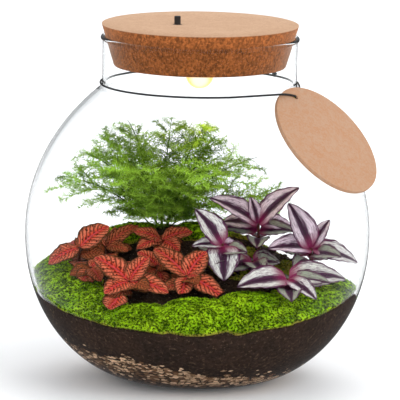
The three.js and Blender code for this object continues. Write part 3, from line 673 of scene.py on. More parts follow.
def blend(tree, share, first, second):
    """One colour turning into another."""
    made = put(tree, "ShaderNodeMix", {0: share, 6: first, 7: second}, data_type="RGBA")
    return made.outputs[2]


def noise(tree, vector, scale, detail=4.0, roughness=0.55):
    made = put(tree, "ShaderNodeTexNoise", {
        "Vector": vector, "Scale": scale, "Detail": detail, "Roughness": roughness})
    return made.outputs["Fac"]


def granules(tree, vector, scale, channel=0):
    """One random number for each cell of a broken surface."""
    cells = put(tree, "ShaderNodeTexVoronoi", {"Vector": vector, "Scale": scale})
    return put(tree, "ShaderNodeSeparateColor", {0: cells.outputs["Color"]}).outputs[channel]


def height_of(tree, place):
    return put(tree, "ShaderNodeSeparateXYZ", {0: place}).outputs["Z"]


def chart_of(tree):
    """A growth's own map, as (across, along)."""
    chart = put(tree, "ShaderNodeUVMap", uv_map="UVMap").outputs["UV"]
    parts = put(tree, "ShaderNodeSeparateXYZ", {0: chart}).outputs
    return parts["X"], parts["Y"]


def tint_of(tree):
    return put(tree, "ShaderNodeAttribute", attribute_name="tint").outputs["Fac"]


def object_place(tree, scale=None):
    """The place on the object, in metres, stretched where a scale is given."""
    place = put(tree, "ShaderNodeTexCoord").outputs["Object"]
    if not scale:
        return place
    return put(tree, "ShaderNodeMapping", {"Vector": place, "Scale": scale}).outputs["Vector"]


def bump(tree, height, strength, distance):
    made = put(tree, "ShaderNodeBump", {
        "Height": height, "Strength": strength, "Distance": distance})
    return made.outputs["Normal"]


def finish(name, inputs=None):
    """A new material, as (material, tree, its Principled shader)."""
    material = bpy.data.materials.new(name)
    material.use_nodes = True
    tree = material.node_tree
    shader = tree.nodes["Principled BSDF"]
    for key, value in (inputs or {}).items():
        fill(tree, shader.inputs[key], value)
    return material, tree, shader


def wire(tree, shader, **sockets):
    """Links sockets to the shader's inputs, whose names use underscores for spaces here."""
    for name, value in sockets.items():
        tree.links.new(value, shader.inputs[name.replace("_", " ")])


def grain_group():
    """Pressed cork grain: granules, dark flecks and cloudy patches over an object's place."""
    found = bpy.data.node_groups.get("Cork grain")
    if found:
        return found
    group = bpy.data.node_groups.new("Cork grain", "ShaderNodeTree")
    for side, sockets in (
            ("INPUT", {"Base": "Color", "Dark": "Color", "Place": "Vector",
                       "Fleck share": "Float"}),
            ("OUTPUT", {"Colour": "Color", "Height": "Float"})):
        for name, kind in sockets.items():
            group.interface.new_socket(name, in_out=side, socket_type="NodeSocket" + kind)
    entry = group.nodes.new("NodeGroupInput").outputs
    place = entry["Place"]
    tone = granules(group, place, 800.0)
    fleck = granules(group, place, 560.0, 1)
    patches = noise(group, place, 75.0, 5.0, 0.6)
    light = plus(group, times(group, tone, 0.5), times(group, patches, 0.9))
    spot = times(group, step(group, fleck, 0.78, 0.92), entry["Fleck share"])
    shade = maths(group, "MAXIMUM", times(group, step(group, light, 0.95, 0.35), 0.62), spot)
    put(group, "NodeGroupOutput", {
        "Colour": blend(group, shade, entry["Base"], entry["Dark"]),
        "Height": plus(group, tone, noise(group, place, 900.0, 2.0, 0.6))})
    return group


def grained(tree, shader, base, dark, flecks, relief):
    """Gives a shader the cork's grain, in its colour and its relief."""
    grain = put(tree, "ShaderNodeGroup", {
        "Base": base, "Dark": dark, "Fleck share": flecks, "Place": object_place(tree)},
        node_tree=grain_group())
    wire(tree, shader, Base_Color=grain.outputs["Colour"],
         Normal=bump(tree, grain.outputs["Height"], relief, 0.0003))


def lid_finish():
    """Cork with a paler top, painted as lit from above, and a browner side painted darker as shade.
    """
    colours = settings("cork")
    material, tree, shader = finish("Cork lid", {
        "Roughness": 0.82, "Specular IOR Level": 0.08, "Sheen Weight": 0.4,
        "Sheen Roughness": 0.45, "Sheen Tint": (1.0, 0.72, 0.5)})
    height = height_of(tree, object_place(tree))
    # Painted light and shade: this mask gives the top face its paler, lit colour and the side below
    # it the shaded one
    lit_top = step(tree, height, (LID_TOP - 0.8) * MM, (LID_TOP - 0.1) * MM)
    edge = noise(tree, object_place(tree, (1.0, 1.0, 0.6)), 560.0, 4.0, 0.7)
    worn = blend(tree, step(tree, edge, 0.42, 0.62), colours.side,
                 [0.44 * part for part in colours.side[:3]])
    # The dark flecks are painted much darker on the side, as shade
    dark = blend(tree, lit_top, (0.075, 0.024, 0.008), (0.30, 0.16, 0.085))
    grained(tree, shader, blend(tree, lit_top, worn, colours.top), dark, 0.45, 0.4)
    return material


def tag_finish():
    material, tree, shader = finish("Cork tag", {"Roughness": 0.82, "Specular IOR Level": 0.3})
    grained(tree, shader, settings("cork").tag, (0.42, 0.19, 0.085), 0.5, 0.35)
    return material


def glass_finish():
    """Clear glass with little mirror image in its wall and more of it in the rolled bead."""
    material, tree, shader = finish("Clear glass", {
        "Base Color": settings("jar").tint, "Roughness": 0.0, "IOR": GLASS_IOR,
        "Transmission Weight": 1.0})
    height = height_of(tree, object_place(tree))
    bead = step(tree, height, (HEIGHT - BEAD_HEIGHT - 1.5) * MM, (HEIGHT - BEAD_HEIGHT) * MM)
    wire(tree, shader, Specular_Tint=blend(tree, bead, (0.1, 0.1, 0.1), (1.0, 1.0, 1.0)))
    clear = put(tree, "ShaderNodeBsdfTransparent", {"Color": (0.96, 0.97, 0.97)})
    ray = put(tree, "ShaderNodeLightPath")
    mixed = put(tree, "ShaderNodeMixShader", {
        0: ray.outputs["Is Shadow Ray"], 1: shader.outputs[0], 2: clear.outputs[0]})
    tree.links.new(mixed.outputs[0], tree.nodes["Material Output"].inputs["Surface"])
    return material


def plain(name, colour, roughness, metallic=0.0):
    """Moulded or metal finish with a faint cloud in its colour and gloss."""
    material, tree, shader = finish(name, {"Metallic": metallic})
    place = object_place(tree)
    cloud = noise(tree, place, 260.0, 3.0, 0.6)
    wire(tree, shader, Base_Color=blend(tree, cloud, colour, [0.82 * part for part in colour]),
         Roughness=sloped(tree, cloud, 0.15, roughness),
         Normal=bump(tree, noise(tree, place, 2600.0, 2.0), 0.12, 0.0001))
    return material


def lens_finish():
    """Lit lens: nearly white in its middle and warm at its rim."""
    lamp = settings("lamp")
    material, tree, shader = finish("Lit lens", {
        "Base Color": (0.30, 0.20, 0.06), "Roughness": 0.35, "Emission Strength": lamp.glow})
    middle = (0.0, -LENS_RADIUS * MM, (LENS_BOTTOM + 7) * MM)
    off = put(tree, "ShaderNodeVectorMath", {0: object_place(tree), 1: middle},
              operation="DISTANCE").outputs["Value"]
    hot = step(tree, off, LENS_RADIUS * MM, 0.35 * LENS_RADIUS * MM)
    wire(tree, shader, Emission_Color=blend(tree, hot, lamp.colour, (1.0, 0.98, 0.80)))
    return material


def soil_finish():
    """Damp soil: dark crumbs of slightly different browns, with a few paler flecks."""
    material, tree, shader = finish("Damp soil", {"Specular IOR Level": 0.1})
    place = object_place(tree)
    tone = granules(tree, place, 520.0)
    cloud = noise(tree, place, 60.0, 5.0, 0.65)
    base = blend(tree, step(tree, cloud, 0.35, 0.7), settings("ground").soil,
                 (0.057, 0.031, 0.020))
    base = blend(tree, times(tree, tone, 0.55), base, (0.012, 0.009, 0.008))
    fleck = step(tree, noise(tree, place, 420.0, 3.0, 0.6), 0.56, 0.70)
    base = blend(tree, times(tree, fleck, 0.6), base, (0.16, 0.098, 0.062))
    relief = plus(tree, tone, noise(tree, place, 420.0, 4.0, 0.7))
    wire(tree, shader, Base_Color=base, Roughness=sloped(tree, tone, 0.25, 0.68),
         Normal=bump(tree, relief, 0.8, 0.0009))
    return material


def chip_finish():
    """Drainage chips: tan to brown, each with its own tint, and a bed painted dark brown as the
    shade in the deep joints between them.
    """
    material, tree, shader = finish("Drainage chips", {
        "Roughness": 0.85, "Specular IOR Level": 0.25})
    tint = tint_of(tree)
    grain = noise(tree, object_place(tree), 340.0, 5.0, 0.65)
    warm = blend(tree, step(tree, tint, 0.38, 1.0), (0.20, 0.095, 0.045), (0.95, 0.66, 0.42))
    base = blend(tree, step(tree, grain, 0.50, 0.72), warm, (0.17, 0.082, 0.038))
    # Painted shade: the bed's body, at tint 0, takes this dark brown where the gaps between chips
    # lie in shade
    deep = blend(tree, step(tree, grain, 0.42, 0.60), (0.030, 0.016, 0.010),
                 (0.150, 0.080, 0.044))
    base = blend(tree, step(tree, tint, 0.12, 0.04), base, deep)
    wire(tree, shader, Base_Color=base, Normal=bump(tree, grain, 0.7, 0.0006))
    return material


def moss_finish():
    """Moss: deep green at the foot of each shoot, partly painted shade, bright at its tip, and
    yellow brown where it meets the soil; painted shade darkens its pits and the hollows between
    lumps."""
    material, tree, shader = finish("Moss", {"Roughness": 0.7, "Specular IOR Level": 0.04})
    place = object_place(tree)
    patch = noise(tree, place, 55.0, 3.0, 0.6)
    speck = noise(tree, place, 620.0, 3.0, 0.6)
    # Painted shade: the pits and the hollows between lumps darken the lit share below
    pit = step(tree, noise(tree, place, 260.0, 3.0, 0.6), 0.36, 0.54)
    lump = step(tree, noise(tree, place, 120.0, 2.0, 0.5), 0.40, 0.56)
    tip = blend(tree, step(tree, patch, 0.35, 0.68), (0.37, 0.68, 0.010), settings("moss").tip)
    lit = plus(tree, times(tree, step(tree, speck, 0.36, 0.62), 0.60),
               times(tree, tint_of(tree), 0.65))
    lit = times(tree, lit, sloped(tree, pit, 0.45, 0.62))
    lit = times(tree, lit, sloped(tree, lump, 0.42, 0.66))
    base = blend(tree, step(tree, lit, 0.08, 0.88), (0.022, 0.048, 0.001), tip)
    low = times(tree, step(tree, chart_of(tree)[1], 0.30, 0.06), step(tree, speck, 0.38, 0.56))
    wire(tree, shader, Base_Color=blend(tree, times(tree, low, 0.75), base, (0.40, 0.27, 0.055)))
    return material


def fern_finish():
    """Fern: dark green on the stems and in painted shade inside the crown, fresh yellow-green at
    the needles' ends.
    """
    material, tree, shader = finish("Fern green", {"Roughness": 0.6, "Specular IOR Level": 0.04})
    patch = noise(tree, object_place(tree), 70.0, 3.0, 0.6)
    share = plus(tree, times(tree, tint_of(tree), 0.75), times(tree, patch, 0.35))
    wire(tree, shader, Base_Color=blend(tree, step(tree, share, 0.18, 0.82),
                                        (0.018, 0.062, 0.002), (0.52, 0.86, 0.085)))
    return material


def leaf_place(tree, wide, long, vary):
    """Where a point lies on its leaf: (distance from the midrib, share along, tint, chart)."""
    across, along = chart_of(tree)
    across = sloped(tree, across, 2.0, -1.0)
    tint = tint_of(tree)
    chart = put(tree, "ShaderNodeCombineXYZ", {
        0: times(tree, across, wide), 1: times(tree, along, long),
        2: times(tree, tint, vary)}).outputs[0]
    return maths(tree, "ABSOLUTE", across), along, tint, chart


def nerve_finish():
    """Nerve plant: coral ribs between fine dark furrows, a red midrib and a brown margin that is
    darkened further as painted shade.
    """
    material, tree, shader = finish("Netted leaf", {"Roughness": 0.5, "Specular IOR Level": 0.08})
    off, along, tint, chart = leaf_place(tree, 4.0, 12.0, 31.0)
    wander = noise(tree, chart, 0.35, 2.0)
    phase = plus(tree, sloped(tree, along, 8.0, times(tree, off, -2.2)), times(tree, wander, 0.9))
    near = maths(tree, "ABSOLUTE", sloped(tree, maths(tree, "FRACT", phase), 2.0, -1.0))
    furrow = step(tree, near, 0.58, 0.16)
    cells = put(tree, "ShaderNodeTexVoronoi", {"Vector": chart, "Scale": 1.0},
                feature="DISTANCE_TO_EDGE").outputs["Distance"]
    dot = step(tree, cells, 0.08, 0.32)
    dark = maths(tree, "MAXIMUM", times(tree, furrow, 0.78), times(tree, dot, 0.92))
    coral = blend(tree, step(tree, off, 0.05, 0.55), (0.70, 0.048, 0.026),
                  settings("leaf").vein)
    rib = blend(tree, step(tree, tint, 0.0, 0.6), (0.40, 0.105, 0.036), coral)
    hollow = blend(tree, step(tree, tint, 0.0, 0.8), (0.026, 0.014, 0.004),
                   (0.050, 0.008, 0.003))
    base = blend(tree, dark, rib, hollow)
    # The margin's brown is the leaf's own, and is made darker as painted shade between the leaves
    margin = times(tree, step(tree, off, 0.66, 1.0), 0.95)
    base = blend(tree, margin, base, (0.060, 0.030, 0.010))
    midrib = times(tree, step(tree, off, 0.10, 0.02), step(tree, tint, 0.0, 0.5))
    base = blend(tree, times(tree, midrib, 0.8), base, (0.62, 0.070, 0.090))
    base = blend(tree, step(tree, along, 0.02, -0.02), base, (0.10, 0.035, 0.02))
    wire(tree, shader, Base_Color=base,
         Normal=bump(tree, maths(tree, "SUBTRACT", 1.0, dark), 0.5, 0.0004))
    return material


def inch_finish():
    """Inch plant: two silver bands on a purple leaf, magenta at its base, streaked lengthwise."""
    material, tree, shader = finish("Striped leaf", {"Roughness": 0.42, "Specular IOR Level": 0.25})
    off, along, tint, chart = leaf_place(tree, 12.0, 2.6, 17.0)
    streak = noise(tree, chart, 1.6, 4.0, 0.6)
    shifted = plus(tree, off, sloped(tree, streak, 0.9, -0.45))
    band = times(tree, step(tree, shifted, 0.22, 0.42), step(tree, shifted, 0.92, 0.74))
    band = times(tree, band, step(tree, along, 1.0, 0.9))
    pale = blend(tree, step(tree, tint, 0.2, 0.75), (0.40, 0.46, 0.34), settings("leaf").silver)
    pale = blend(tree, step(tree, tint, 0.62, 0.80), pale, (0.98, 0.80, 0.93))
    fine = noise(tree, chart, 3.4, 3.0, 0.65)
    pale = blend(tree, step(tree, fine, 0.48, 0.62), pale, (0.22, 0.12, 0.18))
    deep = blend(tree, step(tree, off, 0.0, 0.2), (0.035, 0.010, 0.026), (0.075, 0.020, 0.058))
    deep = blend(tree, step(tree, off, 0.6, 0.9), deep, (0.090, 0.016, 0.062))
    flush = times(tree, step(tree, along, 0.34, 0.04), 0.9)
    base = blend(tree, flush, blend(tree, band, deep, pale), (0.24, 0.010, 0.075))
    base = blend(tree, step(tree, along, 0.0, -0.02), base, (0.13, 0.040, 0.028))
    wire(tree, shader, Base_Color=base, Normal=bump(tree, streak, 0.25, 0.0003))
    return material


def cord_finish():
    """Black elastic with a fine paler weave."""
    material, tree, shader = finish("Elastic cord", {"Roughness": 0.6})
    weave = put(tree, "ShaderNodeTexWave", {
        "Vector": object_place(tree), "Scale": 900.0, "Distortion": 1.5}).outputs["Fac"]
    wire(tree, shader, Base_Color=blend(tree, weave, (0.008, 0.008, 0.009), (0.03, 0.03, 0.032)),
         Normal=bump(tree, weave, 0.4, 0.0002))
    return material


# Grown shapes

def leaf_blade(start, leaf, form, tint, growth, thickness):
    """One thin closed blade along an arched midrib, with waved edges and a folded middle."""
    azimuth, rise, length, width, *stalk = leaf
    bare = (stalk[0] if stalk else 0) / length
    a = math.radians(azimuth)
    e = math.radians(rise)
    along = np.array([math.cos(e) * math.cos(a), math.cos(e) * math.sin(a), math.sin(e)])
    face = unit(TOWARDS_LIGHT - along * TOWARDS_LIGHT.dot(along))
    side = np.cross(along, face)
    offset = STEM * 0.6
    root = np.asarray(start, dtype=float) + along * offset
    rows, columns = 26, 16
    s = np.linspace(0, 1, rows + 1)[:, None]
    c = np.linspace(-1, 1, columns + 1)[None, :]
    t = np.clip((s - bare) / (1 - bare), 0.0, 0.996)
    outline = np.sin(math.pi * t ** form["fullness"]) ** form["roundness"]
    half = np.maximum(form["breadth"] * width / 2 * outline, 0.5 * (1 - s) + 0.12)
    shape = np.sqrt(c * c + 0.004)
    ripple = 0.35 * np.sin(math.tau * 5 * s + 2 * a) * c ** 4 * (half > 1)
    swell = form["wave"] * c * np.sin(math.tau * form["waves"] * s + a) * (half > 1)
    lift = form["arch"] * length * 4 * s * (1 - s) + form["fold"] * half * shape + swell + ripple
    middle = (root + (s * (length - offset))[..., None] * along
              + (half * c)[..., None] * side + lift[..., None] * face).reshape(-1, 3)
    middle = keep_inside(middle, 0.5)
    thick = (thickness * (1 - 0.75 * c ** 2) * np.ones_like(s)).reshape(-1, 1) / 2
    across = np.broadcast_to((c + 1) / 2, (rows + 1, columns + 1)).reshape(-1)
    far = np.broadcast_to(t, (rows + 1, columns + 1)).reshape(-1)
    marks = marked(across, np.maximum(far, 0.001), tint)
    upper = middle + thick * face
    lower = middle - thick * face
    n = columns + 1
    i = (np.arange(rows)[:, None] * n + np.arange(columns)[None, :]).reshape(-1)
    top = np.stack([i, i + 1, i + n + 1, i + n], -1)
    count = len(middle)
    under = np.stack([i, i + n, i + n + 1, i + 1], -1) + count
    r = np.arange(rows) * n
    left = np.stack([r + count, r, r + n, r + n + count], -1)
    right = np.stack([r + columns, r + columns + count, r + columns + n + count,
                      r + columns + n], -1)
    k = np.arange(columns)
    heel = np.stack([k + count, k + 1 + count, k + 1, k], -1)
    last = rows * n + k
    nose = np.stack([last, last + 1, last + 1 + count, last + count], -1)
    growth.add(np.concatenate([upper, lower]), [top, under, left, right, heel, nose],
               np.concatenate([marks, marks]))
    return middle.reshape(rows + 1, columns + 1, 3)[::3, columns // 2], half[::3, 0]


# Places along the leaves' midribs, each (x, y, z, half width), which the fern keeps clear of
LEAF_POINTS = []


def older_leaves(foot, crown, leaves):
    """Smaller, duller leaves lower on a stem, turned between those of its crown."""
    length = np.mean([leaf[2] for leaf in leaves])
    width = np.mean([leaf[3] for leaf in leaves])
    turn = leaves[0][0] + 62
    for node in (1, 2):
        start = crown + (foot - crown) * 0.26 * node
        for pair in (0, 180):
            azimuth = turn + pair + 97 * node
            yield node, start, (azimuth, 12 - 9 * node, length * 0.8, width * 0.92)


def leafy_shoot(name, shoot, form, tints):
    """A shoot with its leaves, as one piece that stands for the node of that name."""
    (x, y), crown, leaves = shoot
    growth = Growth()
    soil_top = soil_at(x, y)
    top = np.array(crown, dtype=float)
    low = np.array([x, y, soil_top + 1.0])
    bend = low + (top - low) * 0.6
    stem = np.array([[x, y, soil_top - STEM_DEPTH + 1], low, bend, top + [0, 0, 0.8]])
    growth.add(*tube(resampled(stem, 13), np.full(13, STEM * 0.9), 10), (0.5, -0.5, 0.5))
    thickness = settings("leaf").thickness / MM
    for leaf, tint in zip(leaves, tints):
        middle, half = leaf_blade(crown, leaf, form, tint, growth, thickness)
        LEAF_POINTS.append(np.concatenate([middle, half[:, None]], axis=1))
    for node, start, leaf in older_leaves(low, top, leaves):
        # The lower leaves' low tint is partly painted shade low on the stem and partly the dull
        # colour of old leaves
        leaf_blade(start, leaf, form, 0.12 * node, growth, thickness)
    return growth.piece(name + "_leaves")


def grow_shoots(plants, form, tones, spread, seed, material):
    """Each shoot of one kind, its leaves in tones that vary round the shoot's own."""
    rng = np.random.default_rng(seed)
    for name, shoot in plants.items():
        tints = np.clip(tones[name] + rng.uniform(*spread, len(shoot[2])), 0, 1)
        in_place(leafy_shoot(name, shoot, form, tints), [name], material)


def frond_line(number):
    """The stem of one fern frond above the soil."""
    azimuth, rise, reach = FRONDS[number]
    turn = math.radians(-180 + 360 * number / len(FRONDS))
    ring = FERN_RING * (1.0 if number % 2 == 0 else 0.5)
    x = FERN_CENTRE[0] + ring * math.cos(turn)
    y = FERN_CENTRE[1] + ring * math.sin(turn)
    a, e = math.radians(azimuth), math.radians(rise)
    flat = reach * math.cos(e)
    foot = np.array([x, y, soil_at(x, y) + 1])
    tip = np.array([x + flat * math.cos(a), y + flat * math.sin(a),
                    FERN_CENTRE[2] + reach * math.sin(e)])
    knee = foot + (tip - foot) * 0.4
    knee[2] = foot[2] + (tip[2] - foot[2]) * 0.72 + 6
    t = np.linspace(0, 1, FROND_STEPS)[:, None]
    return (1 - t) ** 2 * foot + 2 * t * (1 - t) * knee + t ** 2 * tip


def under_crown(points, short=0.0):
    """True for each point within the fern's round crown, made as much lower as short says."""
    x, y, z = points.T
    out = np.where(x > -30, 0.72, 1.0) * (x + 30) ** 2 + 0.8 * (y - 25) ** 2
    return z + 0.17 * (y - 30) < FERN_TOP - short - FERN_FALL * out


def clear_of_all(points, short=0.0):
    """True for each point inside the glass and the fern's crown, off the moss and the leaves."""
    x, y, z = points.T
    inside = np.hypot(x, y) < inner_radius(z) - 1.2
    above = z > cover_top(x, y) + 0.5
    near = (x - FERN_CENTRE[0]) ** 2 + (y - FERN_CENTRE[1]) ** 2
    skirt = z > FERN_SKIRT + 9 * np.exp(-near / 400)
    free = inside & above & under_crown(points, short) & skirt
    for leaf in LEAF_POINTS:
        for *middle, reach in leaf:
            free &= ((points - middle) ** 2).sum(1) > (0.7 * reach + 1.0) ** 2
    return free


def fern_sprigs(growth, twig, heading, short, tone, rng):
    """Flat sprigs along a twig, and needles on the sprigs."""
    form = settings("fern")
    n = form.sprigs
    flat = unit(np.cross(heading, [0.05, 0.1, 1.0]))
    lift = np.cross(flat, heading)
    share = 0.12 + 0.88 * (np.arange(n) + rng.random(n) * 0.5) / n
    sides = np.where(np.arange(n) % 2 == 0, 1.0, -1.0)[:, None]
    reach = np.linspace(0, 1, TWIG_STEPS)
    roots = np.stack([np.interp(share, reach, twig[:, k]) for k in range(3)], -1)
    spread = rng.normal(0, 0.35, (n, 1))
    headings = unit(heading * 0.9 + flat * sides + lift * spread + rng.normal(0, 0.12, (n, 3)))
    lengths = (3.2 + 6.2 * np.sin(math.pi * np.clip(share, 0, 1) ** 0.8)) * (
        0.8 + 0.4 * rng.random(n))
    fine = clear_of_all(roots + headings * lengths[:, None], short)
    roots, headings, lengths = roots[fine], headings[fine], lengths[fine]
    if not len(roots):
        return
    growth.add(*spikes(roots, headings, lengths * 1.05, np.full(len(roots), 0.2),
                       rng.random(len(roots)) * 6), (0.5, 0.5, 0.45))
    m = form.needles
    along = np.linspace(0.1, 1.0, m)[None, :, None]
    bases = (roots[:, None] + headings[:, None] * lengths[:, None, None] * along).reshape(-1, 3)
    main = np.repeat(headings, m, axis=0)
    stray = rng.normal(0, 1, bases.shape)
    stray -= main * (stray * main).sum(1, keepdims=True)
    directions = unit(main * 0.45 + unit(stray) * [1, 1, 0.75])
    size = form.needle / MM * (0.5 + 0.5 * rng.random(len(bases)))
    tips = bases + directions * size[:, None]
    fine = clear_of_all(tips, short)
    bases, directions, size, tips = bases[fine], directions[fine], size[fine], tips[fine]
    if not len(bases):
        return
    points, faces = spikes(bases, directions, size, np.full(len(bases), 0.27),
                           rng.random(len(bases)) * 6)
    # Painted shade: needles nearer the crown's heart get a darker tint and those further out a
    # brighter one
    out_of_shade = np.clip(np.linalg.norm(tips - FERN_HEART, axis=1) / 75, 0, 1)
    tint = np.repeat(tone * (0.26 + 0.62 * out_of_shade * (0.6 + 0.4 * rng.random(len(bases)))), 4)
    growth.add(points, faces, marked(0.5, 0.5, tint * np.tile([0.75, 0.75, 0.75, 1.1], len(bases))))


def fern_frond(number):
    """One frond: a fine stem, cut off at the crown's outline, and twigs all round it."""
    twigs = settings("fern").twigs
    rng = np.random.default_rng(500 + number)
    stem = frond_line(number)
    stem = resampled(stem[:max(int(under_crown(stem).sum()), 12)], FROND_STEPS)
    growth = Growth()
    buried = np.concatenate([[stem[0] - [0, 0, 11]], stem])
    growth.add(*tube(buried, np.linspace(0.62, 0.22, len(buried)), 6), (0.5, 0.0, 0.12))
    first, end = 0.06, 0.985
    reach = np.linspace(0, 1, TWIG_STEPS)[:, None]
    for i in range(twigs):
        short = rng.uniform(-4, 15)
        s = first + (end - first) * (i / (twigs - 1)) ** 1.2
        tone = rng.uniform(0.45, 1.25)
        at = s * (FROND_STEPS - 1)
        k = min(int(at), FROND_STEPS - 2)
        root = stem[k] + (stem[k + 1] - stem[k]) * (at - k)
        along = unit(stem[k + 1] - stem[k])
        level = unit(np.cross([0.0, 0.0, 1.0], along) + 1e-6)
        over = np.cross(along, level)
        turn = i * 2.4 + number
        out = level * math.cos(turn) + over * 0.45 * math.sin(turn)
        heading = along if i == twigs - 1 else unit(out + along * (0.25 + 0.6 * s))
        length = 30 * (1 - 0.5 * abs(s - 0.55)) * (0.8 + 0.35 * rng.random())
        droop = np.array([0, 0, -1.0]) * (0.10 * length) * reach ** 2
        twig = root + heading * length * reach + droop
        free = clear_of_all(twig, short)
        free[0] = True
        kept = TWIG_STEPS - 1 if free.all() else int(np.argmin(free)) - 1
        if kept < 2:
            continue
        twig = root + (twig[kept] - root) * reach
        growth.add(*tube(twig, np.linspace(0.26, 0.10, TWIG_STEPS), 3), (0.5, 0.0, 0.25))
        fern_sprigs(growth, twig, heading, short, tone, rng)
    return growth.piece("frond_%02d" % (number + 1), smooth=False)


def in_glass(points):
    """The points, brought in to just inside the glass's inner face."""
    return drawn_in(points, inner_radius(points[:, 2]) + MOSS_INTO_GLASS)


def moss_body(cushions):
    """The bank's cushions melted together, as (points, faces)."""
    deselect()
    made = []
    for cx, cy, half_width, half_depth, height in cushions:
        bpy.ops.mesh.primitive_uv_sphere_add(segments=72, ring_count=36, radius=1.0)
        ball = bpy.context.object
        across, deep, up = places_of(ball.data).T
        x, y = cx + across * half_width, cy + deep * half_depth
        x, y = in_glass(np.stack([x, y, ground(x, y) + up * height], -1)).T[:2]
        lumps = (0.9 * np.sin(x * 0.75 + 1) * np.cos(y * 0.7)
                 + 0.6 * np.sin(x * 1.6 - y * 0.9) + 0.4 * np.sin(y * 2.1 + x * 0.4))
        rise = np.where(up > 0, up * (height - MOSS_FUR) * (1 + 0.12 * bumps(x, y))
                        + lumps * np.clip(up * 3, 0, 1), up * 4)
        places = in_glass(np.stack([x, y, ground(x, y) + rise], -1))
        ball.data.vertices.foreach_set("co", (places * MM).ravel())
        made.append(ball)
    deselect()
    for ball in made:
        ball.select_set(True)
    bpy.context.view_layer.objects.active = made[0]
    if len(made) > 1:
        bpy.ops.object.join()
    bank = bpy.context.object
    melt = bank.modifiers.new("melt", "REMESH")
    melt.mode = "VOXEL"
    melt.voxel_size = MOSS_VOXEL * MM
    bpy.ops.object.modifier_apply(modifier=melt.name)
    faces = np.empty(len(bank.data.polygons) * 4, dtype=np.int32)
    bank.data.loops.foreach_get("vertex_index", faces)
    places = in_glass(places_of(bank.data) / MM)
    bpy.data.objects.remove(bank)
    return places, faces.reshape(-1, 4)


def over_soil(points):
    """How high each point of the moss is over the soil, as a share of the full lift."""
    return np.clip((points[:, 2] - ground(points[:, 0], points[:, 1])) / MOSS_LIFT, 0, 1)


def moss_bank(name, cushions, rng):
    """A lumpy bank of moss: melted cushions under a fur of short closed shoots."""
    form = settings("moss")
    places, faces = moss_body(cushions)
    growth = Growth()
    # The body under the fur gets the lowest tint, partly as painted shade beneath the shoots
    growth.add(places, [faces], marked(0.5, over_soil(places), 0.1))
    corners = places[faces]
    normals = np.cross(corners[:, 2] - corners[:, 0], corners[:, 3] - corners[:, 1])
    area = np.linalg.norm(normals, axis=1) / 2
    normals = unit(normals)
    middle = corners.mean(1)
    weight = area * (middle[:, 2] > ground(middle[:, 0], middle[:, 1]) - 1.0)
    total = int(weight.sum() * form.tufts)
    pick = rng.choice(len(faces), size=total, p=weight / weight.sum())
    share = rng.random((total, 2))
    a = corners[pick, 0] + (corners[pick, 1] - corners[pick, 0]) * share[:, :1]
    b = corners[pick, 3] + (corners[pick, 2] - corners[pick, 3]) * share[:, :1]
    bases = a + (b - a) * share[:, 1:] - normals[pick] * 0.3
    lean = unit(normals[pick] + rng.normal(0, 0.55, (total, 3)) + [0, 0, 0.25])
    length = form.shoot / MM * (0.35 + 0.65 * rng.random(total))
    tips = bases + lean * length[:, None]
    over = np.hypot(tips[:, 0], tips[:, 1]) > inner_radius(tips[:, 2]) + 0.6
    length = np.where(over, 0.4, length)
    points, faces = spikes(bases, lean, length, 0.19 + 0.18 * rng.random(total),
                           rng.random(total) * 6)
    # Each shoot's foot gets a low tint and its tip a high one: the dark foot is partly painted
    # shade within the mat
    tint = np.array([0.25, 0.25, 0.25, 1.0]) * (0.5 + 0.5 * rng.random((total, 1)))
    growth.add(points, faces, marked(0.5, np.repeat(over_soil(bases), 4), tint.reshape(-1)))
    return growth.piece(name + "_fur", smooth=False)


def filled_layer(lower, upper, inset, columns=192):
    """A closed body between two height maps that fills the jar out to its inner face."""
    turn = np.arange(columns) / columns * math.tau
    rings = []

    def around(radius):
        return radius * np.cos(turn), radius * np.sin(turn)

    def contact(height):
        z = np.full(columns, 60.0)
        for _ in range(60):
            z = 0.5 * z + 0.5 * height(*around(inner_radius(z) - inset))
        return z

    def spread(height, edge, shares):
        for share in shares:
            x, y = around(edge * share)
            rings.append(np.stack([x, y, height(x, y)], -1))

    high = contact(upper)
    low = contact(lower)
    spread(upper, inner_radius(high) - inset, np.linspace(0.02, 1.0, 60))
    for share in np.linspace(0, 1, 42)[1:]:
        z = high + (low - high) * share
        rings.append(np.stack([*around(inner_radius(z) - inset), z], -1))
    spread(lower, inner_radius(low) - inset, np.linspace(1.0, 0.02, 24)[1:])
    i = np.arange(len(rings) - 1)[:, None] * columns
    k = np.arange(columns)[None, :]
    after = (k + 1) % columns
    walls = np.stack([i + k, i + k + columns, i + after + columns, i + after], -1).reshape(-1, 4)
    last = (len(rings) - 1) * columns
    caps = [[list(range(columns))], [[last + j for j in range(columns)][::-1]]]
    return np.concatenate(rings), [walls, *caps]


def pebble(rng, size, flat, wide=0.45):
    """An irregular little block of twenty faces, at least as wide as the given share."""
    golden = (1 + 5 ** 0.5) / 2
    corners = np.array([
        (-1, golden, 0), (1, golden, 0), (-1, -golden, 0), (1, -golden, 0), (0, -1, golden),
        (0, 1, golden), (0, -1, -golden), (0, 1, -golden), (golden, 0, -1), (golden, 0, 1),
        (-golden, 0, -1), (-golden, 0, 1)]) / 1.9
    faces = np.array([
        (0, 11, 5), (0, 5, 1), (0, 1, 7), (0, 7, 10), (0, 10, 11), (1, 5, 9), (5, 11, 4),
        (11, 10, 2), (10, 7, 6), (7, 1, 8), (3, 9, 4), (3, 4, 2), (3, 2, 6), (3, 6, 8),
        (3, 8, 9), (4, 9, 5), (2, 4, 11), (6, 2, 10), (8, 6, 7), (9, 8, 1)])
    corners = corners * (0.8 + 0.4 * rng.random((12, 1)))
    return corners * [size, size * (wide + 0.35 * rng.random()), size * flat], faces


